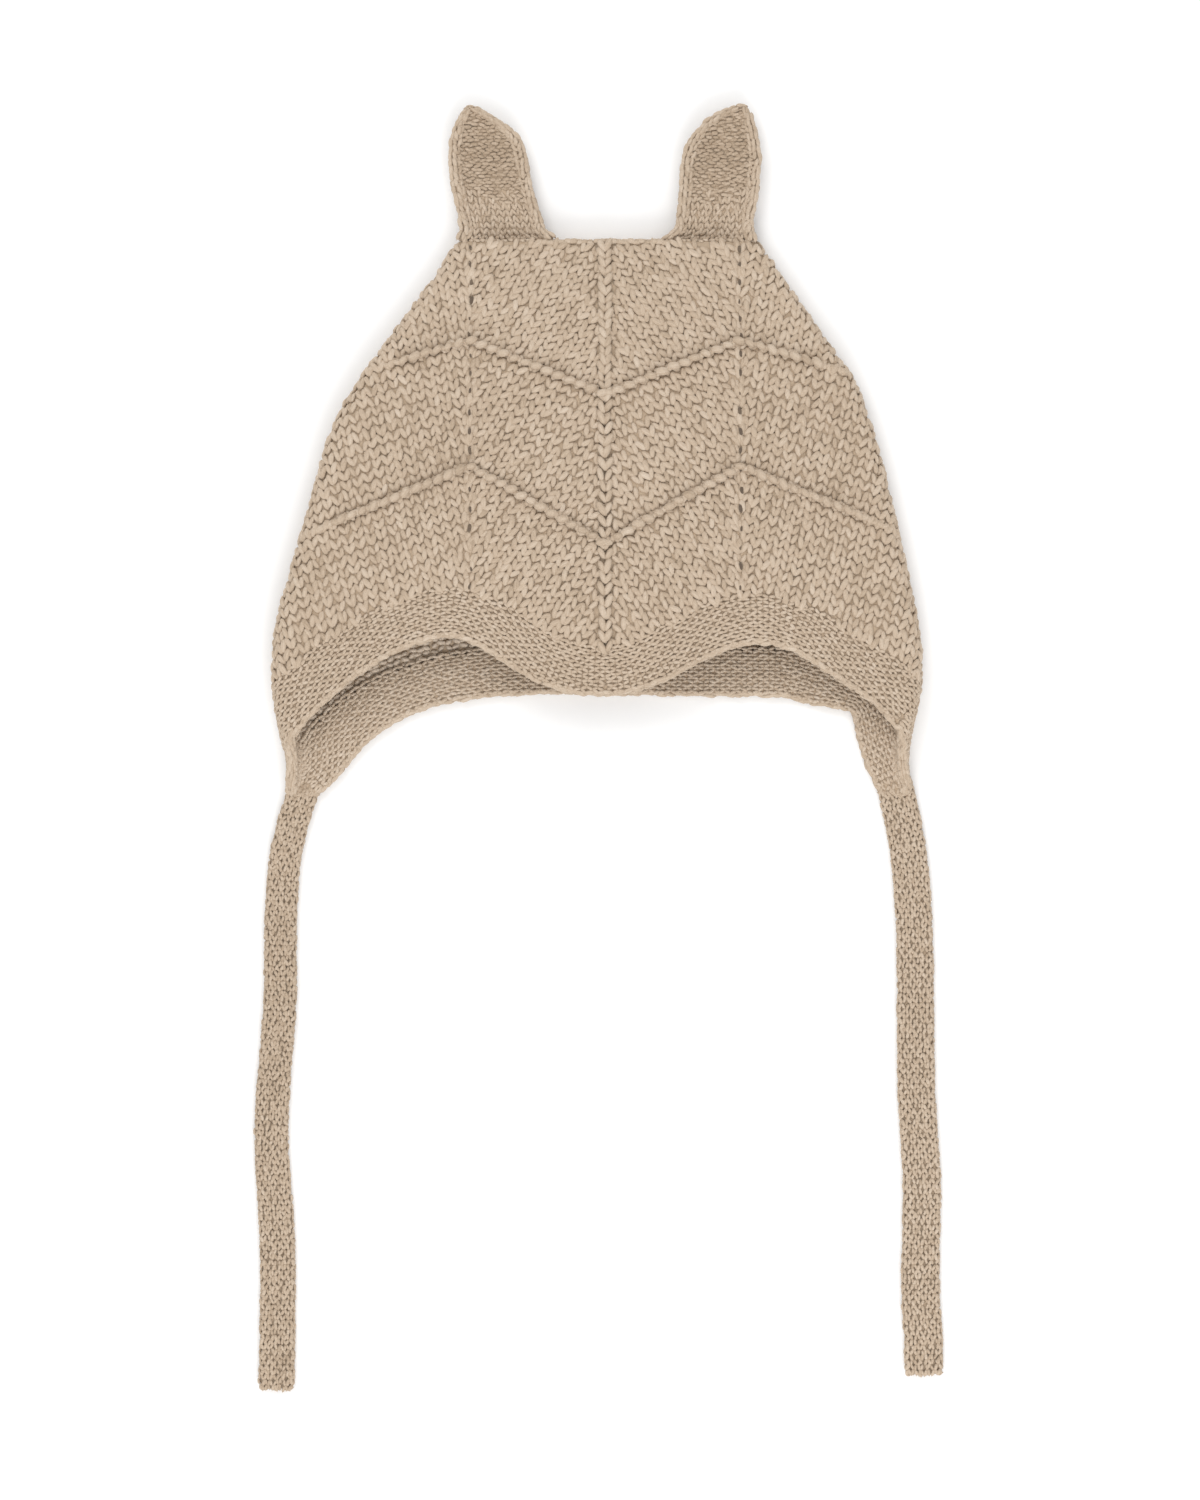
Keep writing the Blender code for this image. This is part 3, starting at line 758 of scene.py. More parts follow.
def wall_ring(heights_of, inset):
    """One ring of points round the wall. heights_of gives the height at each station of a side. On the
    back the outer face lies deeper, because the table presses the stitches into the cloth."""
    right, left = ring_columns()
    points = []
    for side, stations in ((1, right), (-1, left)):
        heights = heights_of(side, stations)
        deeper = np.interp(stations, (MID_FOLD, FOLD_END), (inset, BACK_GROUND_DEPTH))
        around = station_to_around(side, stations, heights)
        points.append(wall(side, around, heights, np.maximum(inset, deeper)))
    return np.concatenate(points)


def join_rings(mesh, lower, upper):
    """Quads between two rings of vertices."""
    for index in range(len(lower)):
        after = (index + 1) % len(lower)
        mesh.faces.new((lower[index], lower[after], upper[after], upper[index]))


def close_flat_ring(mesh, ring):
    """Close a flattened ring, whose front and back columns face each other."""
    half = len(ring) // 2
    for step in range(half // 2):
        right = (ring[step], ring[step + 1], ring[half - step - 1], ring[half - step])
        left = (ring[-step], ring[-step - 1], ring[half + step + 1], ring[(half + step) % len(ring)])
        for corners in (right, left):
            mesh.faces.new(list(dict.fromkeys(corners)))


def add_piece(name, mesh, material):
    """Turn the faces of a finished shell outwards and make it an object."""
    bmesh.ops.recalc_face_normals(mesh, faces=mesh.faces)
    if mesh.calc_volume(signed=True) < 0.0:
        bmesh.ops.reverse_faces(mesh, faces=mesh.faces)
    data = bpy.data.meshes.new(name)
    mesh.to_mesh(data)
    mesh.free()
    data.shade_smooth()
    data.materials.append(material)
    return in_scene(bpy.data.objects.new(name, data))


def ground_shell(name, low, high, rows, wall_size, closed_top):
    """A thin shell between two lines round the wall. low and high give heights by side and station."""
    mesh = bmesh.new()
    layers = []
    inner = (wall_size - GROUND_DEPTH * INNER_DEPTH_SHARE, INNER_TOP_DROP / CROWN_LENGTH)
    for inset, top_drop in ((GROUND_DEPTH, 0.0), inner):
        rings = []
        for part in np.arange(rows + 1) / rows:
            def heights_of(side, stations):
                """Heights of one ring, a share of the way from the lower line to the upper one."""
                return low(side, stations) * (1.0 - part) + (high(side, stations) - top_drop) * part

            rings.append([mesh.verts.new(point) for point in wall_ring(heights_of, inset)])
        for lower, upper in zip(rings, rings[1:]):
            join_rings(mesh, lower, upper)
        layers.append(rings)
    join_rings(mesh, layers[0][0], layers[1][0])
    if closed_top:
        close_flat_ring(mesh, layers[0][-1])
        close_flat_ring(mesh, layers[1][-1])
    else:
        join_rings(mesh, layers[0][-1], layers[1][-1])
    return add_piece(name, mesh, GROUND)


def dress(piece, slot, *nodes):
    """Tie a finished piece to the frame: its body and the solids that it stands for. The slot, its finish, is
    not used.
    """
    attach(piece, "root")
    if nodes:
        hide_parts(*nodes)
    return piece


# %% [markdown]
# The ties come first. Each is a flat band of garter stitch, laid loosely on the table. Its rows run along
# it, and the strands in a row lean one way and then the other, so that a small hole opens between two rows
# at every second strand. Its route is a short list of points, with a smooth curve through
# them. The rows go all round the band's rounded cross-section.

# %% Ties
TIE_THICKNESS = 0.0030
TIE_END_ROUNDING = 0.0012
TIE_WIDTHS = {"left_tie": (0.0096, 0.0114), "right_tie": (0.0112, 0.0122)}
TIE_ROUTES = {
    "left_tie": (
        (-0.0951, -0.0871), (-0.0968, -0.0920), (-0.0991, -0.1008), (-0.1003, -0.1070), (-0.1011, -0.1148),
        (-0.1016, -0.1258), (-0.1017, -0.1383), (-0.1018, -0.1508), (-0.1027, -0.1633), (-0.1038, -0.1758),
        (-0.1045, -0.1883), (-0.1044, -0.2008), (-0.1035, -0.2133), (-0.1028, -0.2258), (-0.1025, -0.2383),
        (-0.1027, -0.2508), (-0.1028, -0.2633), (-0.1030, -0.2730),
    ),
    "right_tie": (
        (0.0915, -0.0871), (0.0929, -0.0930), (0.0944, -0.1008), (0.0956, -0.1102), (0.0964, -0.1195),
        (0.0970, -0.1320), (0.0972, -0.1445), (0.0973, -0.1570), (0.0974, -0.1695), (0.0977, -0.1820),
        (0.0984, -0.1945), (0.0992, -0.2070), (0.0992, -0.2195), (0.0989, -0.2320), (0.0989, -0.2445),
        (0.0997, -0.2570), (0.1000, -0.2683),
    ),
}
TIE_ROWS_ACROSS = 10
TIE_PITCH = 0.00157
TIE_SWING = math.radians(20.0)
TIE_START = -0.0040
# Painted shade: each tie is darkened by its own amount, the left one more, for the shade that falls on it.
TIE_PAINTED_SHADES = {"left_tie": -0.14, "right_tie": -0.04}
TIE_TANGENT_STEP = 0.001
TIE_END_BUMPS = np.linspace(-0.8, 0.8, 6)
TIE_GROUND_RINGS = 60
TIE_GROUND_WIDTH, TIE_GROUND_THICKNESS = 0.84, 0.42
TIE_GROUND_CORNERS = np.array((
    (-1.0, -0.5), (-0.85, -1.0), (0.85, -1.0), (1.0, -0.5),
    (1.0, 0.5), (0.85, 1.0), (-0.85, 1.0), (-1.0, 0.5),
))


def smooth_route(route, steps=8):
    """Points along a smooth curve through the route's own points."""
    points = np.array([(x, y, TIE_THICKNESS / 2.0) for x, y in route])
    padded = np.concatenate([[2.0 * points[0] - points[1]], points, [2.0 * points[-1] - points[-2]]])
    curve = []
    for before, start, end, after in zip(padded, padded[1:], padded[2:], padded[3:]):
        for step in range(steps):
            part = step / steps
            bend = (2.0 * before - 5.0 * start + 4.0 * end - after) * part ** 2
            twist = (3.0 * start - before - 3.0 * end + after) * part ** 3
            curve.append((2.0 * start + (end - before) * part + bend + twist) / 2.0)
    return np.array(curve + [points[-1]])


def lengths_along(curve):
    """Distance from the start of a line of points to each of them."""
    return np.concatenate([[0.0], np.cumsum(np.linalg.norm(np.diff(curve, axis=0), axis=1))])


def on_line(points, lengths, places):
    """Points at some distances along a line of points."""
    return np.stack([np.interp(places, lengths, points[:, axis]) for axis in range(3)], axis=-1)


class Band:
    """A flat band along a smooth curve, with places named by length along it and turn round it."""

    def __init__(self, name):
        """Take the route and the widths of one tie."""
        self.curve = smooth_route(TIE_ROUTES[name])
        self.lengths = lengths_along(self.curve)
        self.length = float(self.lengths[-1])
        self.widths = TIE_WIDTHS[name]

    def centre(self, along):
        """Points on the band's centre line, which runs straight on before its start."""
        ahead = unit(self.curve[1] - self.curve[0])
        return on_line(self.curve, self.lengths, along) + np.minimum(along, 0.0)[..., None] * ahead

    def frames(self, along, across, level):
        """Points and directions. across runs from -1 to 1 over the width, level from -1 to 1 upwards."""
        along = np.asarray(along, dtype=float)
        ahead = unit(self.centre(along + TIE_TANGENT_STEP) - self.centre(along - TIE_TANGENT_STEP))
        sideways = np.stack([-ahead[..., 1], ahead[..., 0], 0.0 * along], axis=-1)
        half_width = (self.widths[0] + (self.widths[1] - self.widths[0]) * along / self.length) / 2.0
        near_end = np.clip(1.0 - (self.length - along) / (2.0 * TIE_END_ROUNDING), 0.0, 1.0)
        half_width = half_width - TIE_END_ROUNDING * near_end ** 2
        up = np.array([0.0, 0.0, 1.0])
        point = self.centre(along) + sideways * (across * half_width)[..., None]
        point = point + up * (level * TIE_THICKNESS / 2.0)[..., None]
        return point, ahead, sideways, up


def band_outline(band, depth):
    """Turns round the band's cross-section: across share, level and facing for each row of bumps."""
    width = sum(band.widths) / 2.0
    shares = (2.0 * np.arange(TIE_ROWS_ACROSS) + 1.0) / TIE_ROWS_ACROSS - 1.0
    inner = shares * (1.0 - 2.0 * depth / width)
    top = [(share, 1.0 - 2.0 * depth / TIE_THICKNESS, 0.0, 1.0) for share in inner]
    bottom = [(share, -1.0 + 2.0 * depth / TIE_THICKNESS, 0.0, -1.0) for share in inner[::-1]]
    rim = 1.0 - 2.0 * depth / width
    return top + [(rim, 0.0, 1.0, 0.0)] + bottom + [(-rim, 0.0, -1.0, 0.0)]


def in_turn(count, swing, first=0):
    """An angle to one side and the other in turn."""
    return swing * np.where((np.arange(count) + first) % 2, 1.0, -1.0)


def swung(ahead, facing, angle):
    """Directions turned in the plane of the cloth."""
    return ahead * np.cos(angle)[:, None] + np.cross(facing, ahead) * np.sin(angle)[:, None]


def tie_strands(band, shade):
    """Rows of zigzag strands all round the band, darkened by the tie's painted shade."""
    groups = []
    count = round((band.length - TIE_START) / TIE_PITCH)
    along = TIE_START + (np.arange(count) + 0.5) * (band.length - TIE_START) / count
    for index, (across, level, out, up) in enumerate(band_outline(band, STRAND_DEPTH)):
        point, ahead, sideways, rise = band.frames(along, across + 0.0 * along, level + 0.0 * along)
        facing = unit(sideways * out + rise * up)
        leaning = swung(ahead, facing, in_turn(count, TIE_SWING, index))
        groups.append(strands_of(point, leaning, facing, shade=shade))
    middle = 0.0 * TIE_END_BUMPS
    point, ahead, sideways, _ = band.frames(band.length - STRAND_DEPTH + middle, TIE_END_BUMPS, middle)
    groups.append(strands_of(point, sideways, ahead, shade=shade))
    return gathered(groups)


def tie_ground(name, band):
    """The band under the bumps, a flat tube with closed ends."""
    mesh = bmesh.new()
    rings = []
    across, level = TIE_GROUND_CORNERS.T
    for along in np.linspace(TIE_START, band.length - GROUND_DEPTH, TIE_GROUND_RINGS):
        points = band.frames(np.full(len(across), along), TIE_GROUND_WIDTH * across,
                             TIE_GROUND_THICKNESS * level)[0]
        rings.append([mesh.verts.new(point) for point in points])
    for lower, upper in zip(rings, rings[1:]):
        join_rings(mesh, lower, upper)
    mesh.faces.new(rings[0])
    mesh.faces.new(rings[-1])
    return add_piece(name, mesh, GROUND)


def merge_pieces(name, pieces):
    """Several mesh objects as one, with all their materials."""
    with bpy.context.temp_override(active_object=pieces[0], selected_editable_objects=pieces,
                                   selected_objects=pieces, object=pieces[0]):
        bpy.ops.object.join()
    pieces[0].name = name
    pieces[0].data.name = name
    return pieces[0]


for tie_name, tie_painted_shade in TIE_PAINTED_SHADES.items():
    tie_band = Band(tie_name)
    tie_rows = tie_strands(tie_band, tie_painted_shade)
    tie_yarn = knit(tie_name + "_yarn", tie_rows, KNIT_SEED + len(tie_name), **TIE_BUMP)
    tie = merge_pieces(tie_name + "_knit", [tie_yarn, tie_ground(tie_name + "_ground", tie_band)])
    dress(tie, "garter_wool", tie_name)
    print(tie_name, "is", round(tie_band.length, 4), "m long")

# %% [markdown]
# The border. Garter stitch shows rows of bumps that lock into each other, and a small hole opens between
# two rows at every second strand. Here each row follows a line parallel to the free edge, all round the
# opening, on both faces of the cloth. Its strands lean one way and the other in turn, as in the ties. The
# columns of stitches stand square to the middle row, so that the leaning strands of all rows keep step.
# Longer strands along the edge itself make the smooth rim.

# %% Border
BORDER_ROWS = 14
BORDER_ROW_HEIGHT = 0.00106
BORDER_PITCH = 0.00169
BORDER_WAVE = {"swing": math.radians(22.0)}
RIM_WAVE = {"swing": math.radians(12.0)}
RIM_PITCH = 0.0021
RIM_DEPTHS = (0.22, 0.50, 0.78)
RIM_RAISE = 0.0003
# Painted light: the border's inner face is a little lighter, for light that reaches in under the front.
BORDER_INSIDE_PAINTED_LIGHT = 0.08
TIP_REACH = 0.002
BUMP_SPREAD = 0.00011
FIRST_ROW_SHARE = 0.7
LINE_STEP = 0.0006
BORDER_GROUND_ROWS = 8
BORDER_COUNT = 901
BORDER_STATIONS = np.linspace(FRONT_CENTRE, BACK_CENTRE, BORDER_COUNT)


def even_marks(side, stations, heights, pitch):
    """Stations at even distances along a line on the wall."""
    bounded = np.maximum(heights, 0.0)
    lengths = lengths_along(wall(side, station_to_around(side, stations, bounded), bounded))
    count = round(float(lengths[-1] / pitch))
    return np.interp((np.arange(count) + 0.5) * lengths[-1] / count, lengths, stations)


def along_line(points, lengths, places, step):
    """Directions of a line of points at some distances along it."""
    return unit(on_line(points, lengths, places + step) - on_line(points, lengths, places - step))


def strands_on_line(side, stations, heights, inset, marks, row=0, inward=False, swing=0.0,
                    plump=(1.0, 1.0), proud=(0.0, 0.0)):
    """A row of strands at the marked stations of a line on the wall, outside the cloth or inside it. They
    lean down and up the crown in turn, each lean with its own size and its own height over the cloth."""
    kept = np.interp(marks, stations, heights) > -TIP_REACH
    turn = ((np.arange(len(marks)) + row) % 2)[kept]
    bounded = np.maximum(heights, 0.0)
    around = station_to_around(side, stations, bounded)
    points = wall(side, around, bounded, inset)
    lengths = lengths_along(points)
    places = np.interp(marks[kept], stations, lengths)
    point, _, _, facing = wall_frames(side, np.interp(places, lengths, around),
                                      np.interp(places, lengths, bounded), inset)
    ahead = along_line(points, lengths, places, LINE_STEP)
    along = swung(ahead, facing, np.array((-swing, swing))[turn] * side)
    facing = -facing if inward else facing
    return strands_of(point + facing * np.array(proud)[turn][:, None], along, facing, np.array(plump)[turn])


def border_columns(side):
    """Where the columns of stitches cross the middle of the border, and how they lean there."""
    heights = line_beside_edge(side, BORDER_STATIONS, BORDER_WIDTH / 2.0, ROW_EDGE_HEIGHTS)
    places = station_to_around(side, BORDER_STATIONS, REFERENCE_HEIGHT)
    lengths = lengths_along(np.stack([places, heights * CROWN_LENGTH], axis=-1))
    climbs = np.gradient(heights * CROWN_LENGTH, lengths)
    count = round(float(lengths[-1] / BORDER_PITCH))
    marks = (np.arange(count) + 0.5) * lengths[-1] / count
    return np.interp(marks, lengths, places), np.interp(marks, lengths, climbs)


def border_strands(inward):
    """All the rows of one face of the border. The inner face is made a little lighter, as painted light."""
    inset = BORDER_WALL - STRAND_DEPTH if inward else STRAND_DEPTH
    groups = []
    for side in (-1, 1):
        places, climbs = border_columns(side)
        unrolled = station_to_around(side, BORDER_STATIONS, REFERENCE_HEIGHT)
        for row in range(BORDER_ROWS):
            away = (row + FIRST_ROW_SHARE) * BORDER_ROW_HEIGHT
            heights = line_beside_edge(side, BORDER_STATIONS, away, ROW_EDGE_HEIGHTS)
            marks = np.interp(places - climbs * (away - BORDER_WIDTH / 2.0), unrolled, BORDER_STATIONS)
            groups.append(strands_on_line(side, BORDER_STATIONS, heights, inset, marks, row, inward,
                                          **BORDER_WAVE))
    rows = gathered(groups)
    rows["shade"] += BORDER_INSIDE_PAINTED_LIGHT if inward else 0.0
    return rows


def rim_strands():
    """Longer strands along the free edge, over the whole thickness of the cloth."""
    groups = []
    for side in (-1, 1):
        heights = line_beside_edge(side, BORDER_STATIONS, RIM_RAISE)
        marks = even_marks(side, BORDER_STATIONS, heights, RIM_PITCH)
        for row, depth in enumerate(RIM_DEPTHS):
            groups.append(strands_on_line(side, BORDER_STATIONS, heights, BORDER_WALL * depth, marks, row,
                                          **RIM_WAVE))
    return gathered(groups)


def ground_edge(side, stations):
    """Heights of the lower end of the border's ground cloth."""
    return edge_height(side, stations) + GROUND_DEPTH / CROWN_LENGTH


border_ground = ground_shell("border_ground", ground_edge, seam_line, BORDER_GROUND_ROWS, BORDER_WALL, False)
dress(border_ground, "garter_wool", "border")
border_outside = knit("border_outside", border_strands(False), KNIT_SEED + 20, BUMP_SPREAD, **BORDER_BUMP)
border_inside = knit("border_inside", border_strands(True), KNIT_SEED + 21, BUMP_SPREAD, **BORDER_BUMP)
border_rim = knit("border_rim", rim_strands(), KNIT_SEED + 22, **ROPE)
for border_piece in (border_outside, border_inside, border_rim):
    dress(border_piece, "garter_wool")

# %% [markdown]
# The front of the crown. Its rows form a W: they rise from the centre rib to a line of increases on each
# side and fall again towards the side folds. The columns of stitches stand square to the rows, so they
# lean towards the centre in the middle panels and away from it in the side panels. Where they part, at
# the increases, small holes open, drawn as painted shade: short strands in the brown of deep shade. Each
# V stitch is two strands that lean apart. Two rows are garter ridges, soft cords of slanting bumps, large
# and small in turn, and the centre rib is a chain of plump Vs.

# %% Rows of the front
LOWER_PEAK, UPPER_PEAK = 0.589, 0.816
LOWER_INNER_SLOPE, UPPER_INNER_SLOPE = 0.573, 0.408
LOWER_OUTER_SLOPE, UPPER_OUTER_SLOPE = 0.410, 0.290
INNER_COLUMN_LEAN, OUTER_COLUMN_LEAN = math.radians(33.0), math.radians(13.0)
RIDGE_GAP_ROWS = 13
ROWS_DOWN, ROWS_UP = 24, 34
TOP_ROW_PITCH = 0.0159
STEEPEST_PART = -0.8
NEAREST_RIB = 0.0016
RIB_LEAN = math.radians(25.0)
RIB_LEG_PLACE = 0.00095
RIB_PLUMP = 1.20
RIB_PROUD = 0.0007
OFF_CENTRE = 1e-6
RIDGE_PITCH = 0.00183
RIDGE_SWING = math.radians(24.0)
FRONT_RIDGE = {"swing": RIDGE_SWING, "plump": (1.20, 0.94), "proud": (0.0012, 0.0007)}
BACK_RIDGE = {"swing": RIDGE_SWING, "plump": (1.10, 0.90)}
RIDGE_PROUD_END = 0.96
SUNK_DEPTH = 0.0003
# The eyelets are painted shade: short strands of the dark yarn, not real holes.
EYELET_PAINTED_SHADE = {**V_STITCH, "Size spread": 0.28, "Yarn": PAINTED_SHADE_YARN}
EYELET_PLUMP = 0.56
EYELET_PROUD = 0.00055
BACK_LOWER_RIDGE, BACK_UPPER_RIDGE, BACK_GAP_ROWS = 0.468, 0.765, 20
HALF_ROW_OF_STITCHES = np.arange(60)
RIDGE_COUNT, BACK_RIDGE_COUNT = 201, 301
FITTING_PASSES = 4
INCREASE_DROP = 0.4 * ROW_HEIGHT
TOP_MARGIN = 0.0012
SEAM_MARGIN = 0.0006
CROWN_GROUND_ROWS = 40
SIDE_NAMES = {-1: "left", 1: "right"}
# Each panel lies to one side of the line of increases, towards the rib or away from it.
PANELS = ((-1.0, INNER_COLUMN_LEAN), (1.0, OUTER_COLUMN_LEAN))
ROW_NUMBERS = range(-ROWS_DOWN, ROWS_UP)


def front_row(number):
    """Height at the increase line and the two slopes of one row, counted from the lower ridge."""
    above = max(number - RIDGE_GAP_ROWS, 0)
    part = (number - above) / RIDGE_GAP_ROWS
    peak = LOWER_PEAK + (UPPER_PEAK - LOWER_PEAK) * part + above * TOP_ROW_PITCH
    bend = max(part, STEEPEST_PART)
    inner = LOWER_INNER_SLOPE + (UPPER_INNER_SLOPE - LOWER_INNER_SLOPE) * bend
    outer = LOWER_OUTER_SLOPE + (UPPER_OUTER_SLOPE - LOWER_OUTER_SLOPE) * bend
    return peak, inner, outer


def stitched(side, rows, first, last):
    """The stitch places of some rows that lie on the crown, between two stations. A row gives places
    round, heights, its slope and the lean of its columns."""
    around, height, slope, lean = (
        np.concatenate([row[part] + 0.0 * row[0] for row in rows]) for part in range(4))
    bounded = np.clip(height, 0.0, 1.0)
    inside = (height < 1.0 - TOP_MARGIN / CROWN_LENGTH) & (around >= station_to_around(side, first, bounded))
    inside &= around < station_to_around(side, last, bounded)
    inside &= height > seam_height(side, around, bounded) + SEAM_MARGIN / CROWN_LENGTH
    return around[inside], height[inside], slope[inside], lean[inside]


def row_places(shift, rise, slope, lean):
    """How far the columns have moved along the row since the last one, and the lengths of its stitches."""
    shift += rise * math.sin(lean) / math.cos(lean - slope)
    return shift, (shift % STITCH_WIDTH) + (HALF_ROW_OF_STITCHES + FIRST_STITCH_SHARE) * STITCH_WIDTH


def front_lattice(side):
    """Every stitch place of one half of the front: place round, height, slope of its row and lean."""
    rows = []
    shifts = [0.0, 0.0]
    last_peak = front_row(-ROWS_DOWN)[0]
    for number in ROW_NUMBERS:
        peak, *slopes = front_row(number)
        rise = (peak - last_peak) * CROWN_LENGTH
        last_peak = peak
        for panel, (away, lean) in enumerate(PANELS):
            angle = math.atan(slopes[panel])
            shifts[panel], lengths = row_places(shifts[panel], rise, angle, lean)
            around = INCREASE_PLACE + away * lengths * math.cos(angle)
            around = around[around > NEAREST_RIB]
            heights = peak - away * (around - INCREASE_PLACE) * slopes[panel] / CROWN_LENGTH
            rows.append((around, heights, -away * angle, -away * lean))
    return stitched(side, rows, FRONT_CENTRE, MID_FOLD)


def back_lattice(side):
    """Every stitch place of one half of the back, in level rows."""
    pitch = (BACK_UPPER_RIDGE - BACK_LOWER_RIDGE) / BACK_GAP_ROWS
    rows = []
    for height in np.arange(BACK_LOWER_RIDGE % pitch, 1.0, pitch):
        end = float(station_to_around(side, BACK_CENTRE, height))
        rows.append((end - (HALF_ROW_OF_STITCHES + 0.5) * STITCH_WIDTH, height, 0.0, 0.0))
    return stitched(side, rows, MID_FOLD, BACK_CENTRE)


def v_stitches(side, around, height, slope, lean, inset=STRAND_DEPTH):
    """V stitches on the wall, each turned by the slope of its row and the lean of its column."""
    point, out, up, facing = wall_frames(side, around, height, inset)
    row = unit(out * np.cos(slope)[:, None] + up * np.sin(slope)[:, None])
    column = unit(up * np.cos(lean)[:, None] - out * np.sin(lean)[:, None])
    beside = unit(out * np.cos(lean)[:, None] + up * np.sin(lean)[:, None])
    return vs(point, row, column, beside, STITCH_WIDTH * LEG_SHARE, facing)


def front_ridge(side, number):
    """One garter ridge of the front: a soft cord of bumps, large and small in turn. It stands proud of the
    cloth as far as the side fold."""
    peak, inner, outer = front_row(number)
    groups = []
    for first, last, wave in ((FRONT_CENTRE, RIDGE_PROUD_END, FRONT_RIDGE),
                              (RIDGE_PROUD_END, MID_FOLD, BACK_RIDGE)):
        stations = np.linspace(first, last, RIDGE_COUNT)
        heights = np.full(RIDGE_COUNT, peak)
        for _ in range(FITTING_PASSES):
            around = station_to_around(side, stations, heights)
            slopes = np.where(around < INCREASE_PLACE, inner, -outer)
            heights = peak + slopes * (around - INCREASE_PLACE) / CROWN_LENGTH
        marks = even_marks(side, stations, heights, RIDGE_PITCH)
        groups.append(strands_on_line(side, stations, heights, STRAND_DEPTH, marks, **wave))
    return gathered(groups)


def back_ridge(side, height):
    """One garter ridge of the back, pressed flat by the table."""
    stations = np.linspace(MID_FOLD, BACK_CENTRE, BACK_RIDGE_COUNT)
    heights = np.full(BACK_RIDGE_COUNT, height)
    marks = even_marks(side, stations, heights, RIDGE_PITCH)
    return strands_on_line(side, stations, heights, STRAND_DEPTH, marks, **BACK_RIDGE)


def increase_places(side):
    """Places on the line of increases, one in each row: round, height, slope and lean."""
    heights = np.array([front_row(number)[0] for number in ROW_NUMBERS]) - INCREASE_DROP / CROWN_LENGTH
    rows = [(np.full(len(heights), INCREASE_PLACE), heights, 0.0, 0.0)]
    return stitched(side, rows, FRONT_CENTRE, MID_FOLD)


def eyelet_painted_shade_strands():
    """Painted shade for the hole of an increase at every second row: one short strand in deep brown."""
    groups = []
    for side in (-1, 1):
        around, height, _, _ = increase_places(side)
        point, _, up, facing = wall_frames(side, around[::2], height[::2], STRAND_DEPTH - EYELET_PROUD)
        groups.append(strands_of(point, up, facing, EYELET_PLUMP))
    return gathered(groups)


def rib_strands():
    """The centre rib: a chain of plump Vs, a little proud of the cloth."""
    heights = np.array([front_row(number)[0] - INCREASE_PLACE * front_row(number)[1] / CROWN_LENGTH
                        for number in ROW_NUMBERS])
    _, heights, _, _ = stitched(1, [(0.0 * heights, heights, 0.0, 0.0)], FRONT_CENTRE, FOLD_START)
    point, out, up, facing = wall_frames(1, 0.0 * heights + OFF_CENTRE, heights, STRAND_DEPTH)
    return vs(point, out, up, out, RIB_LEG_PLACE, facing, RIB_PLUMP, RIB_LEAN, RIB_PROUD)


def ground_top(side, stations):
    """Heights of the upper end of the crown's ground cloth."""
    return 1.0 - GROUND_DEPTH / CROWN_LENGTH + 0.0 * stations


crown_ground = ground_shell("crown_ground", seam_line, ground_top, CROWN_GROUND_ROWS, CROWN_WALL, True)
dress(crown_ground, "stockinette_wool", "crown")

ridge_groups = []
for side in (-1, 1):
    front = gathered([v_stitches(side, *front_lattice(side)),
                      v_stitches(side, *increase_places(side), STRAND_DEPTH + SUNK_DEPTH)])
    back = v_stitches(side, *back_lattice(side))
    crown_front = knit("crown_front_" + SIDE_NAMES[side], front, KNIT_SEED + 30 + side, **V_STITCH,
                       **FINE_STEPS)
    crown_back = knit("crown_back_" + SIDE_NAMES[side], back, KNIT_SEED + 33 + side, **V_STITCH,
                      **PLAIN_STEPS)
    for crown_piece in (crown_front, crown_back):
        dress(crown_piece, "stockinette_wool")
    ridge_groups.extend(front_ridge(side, row) for row in (0, RIDGE_GAP_ROWS))
    ridge_groups.extend(back_ridge(side, height) for height in (BACK_LOWER_RIDGE, BACK_UPPER_RIDGE))
dress(knit("crown_ridges", gathered(ridge_groups), KNIT_SEED + 40, BUMP_SPREAD, **RIDGE_BUMP),
      "stockinette_wool")
dress(knit("crown_rib", rib_strands(), KNIT_SEED + 41, **V_STITCH), "stockinette_wool")
# Painted shade: short dark strands stand for the holes at the increases.
dress(knit("crown_eyelet_painted_shade", eyelet_painted_shade_strands(), KNIT_SEED + 44, **EYELET_PAINTED_SHADE), "stockinette_wool")

# %% [markdown]
# The closed top and the inside. The top seam is a chain of short strands from front to back. Inside the
# crown the cloth shows its purl side, rows of bumps. They are laid as far up as can be seen through the
# opening, and made lighter than the outer yarn as painted light, for light that reaches in under the front.

# %% The top seam and the inside of the crown
INSIDE_ROWS = 15
INSIDE_ROW_HEIGHT = 0.0018
INSIDE_PITCH = 0.0024
INSIDE_SWING = math.radians(24.0)
# Painted light: the inside strands are much lighter than the outer yarn, for light that reaches in under the
# front.
INSIDE_PAINTED_LIGHT = 0.50
TOP_SEAM_PITCH = 0.0018
TOP_ROW_DROP = 0.0009
FIRST_INSIDE_ROW_SHARE = 0.4
TOP_SEAM_STRANDS = ((0.25, -0.4), (0.75, 0.4))
EAR_INNER_END = 0.019


def inside_strands():
    """The purl side on the inner face of the crown, in rows above the seam, made lighter as painted light."""
    groups = []
    for side in (-1, 1):
        marks = even_marks(side, SEAM_STATIONS, SEAM_LINES[side], INSIDE_PITCH)
        for row in range(INSIDE_ROWS):
            climb = (row + FIRST_INSIDE_ROW_SHARE) * INSIDE_ROW_HEIGHT / CROWN_LENGTH
            groups.append(strands_on_line(side, SEAM_STATIONS, SEAM_LINES[side] + climb,
                                          CROWN_WALL - STRAND_DEPTH, marks, row, True, swing=INSIDE_SWING))
    inside = gathered(groups)
    inside["shade"] += INSIDE_PAINTED_LIGHT
    return inside


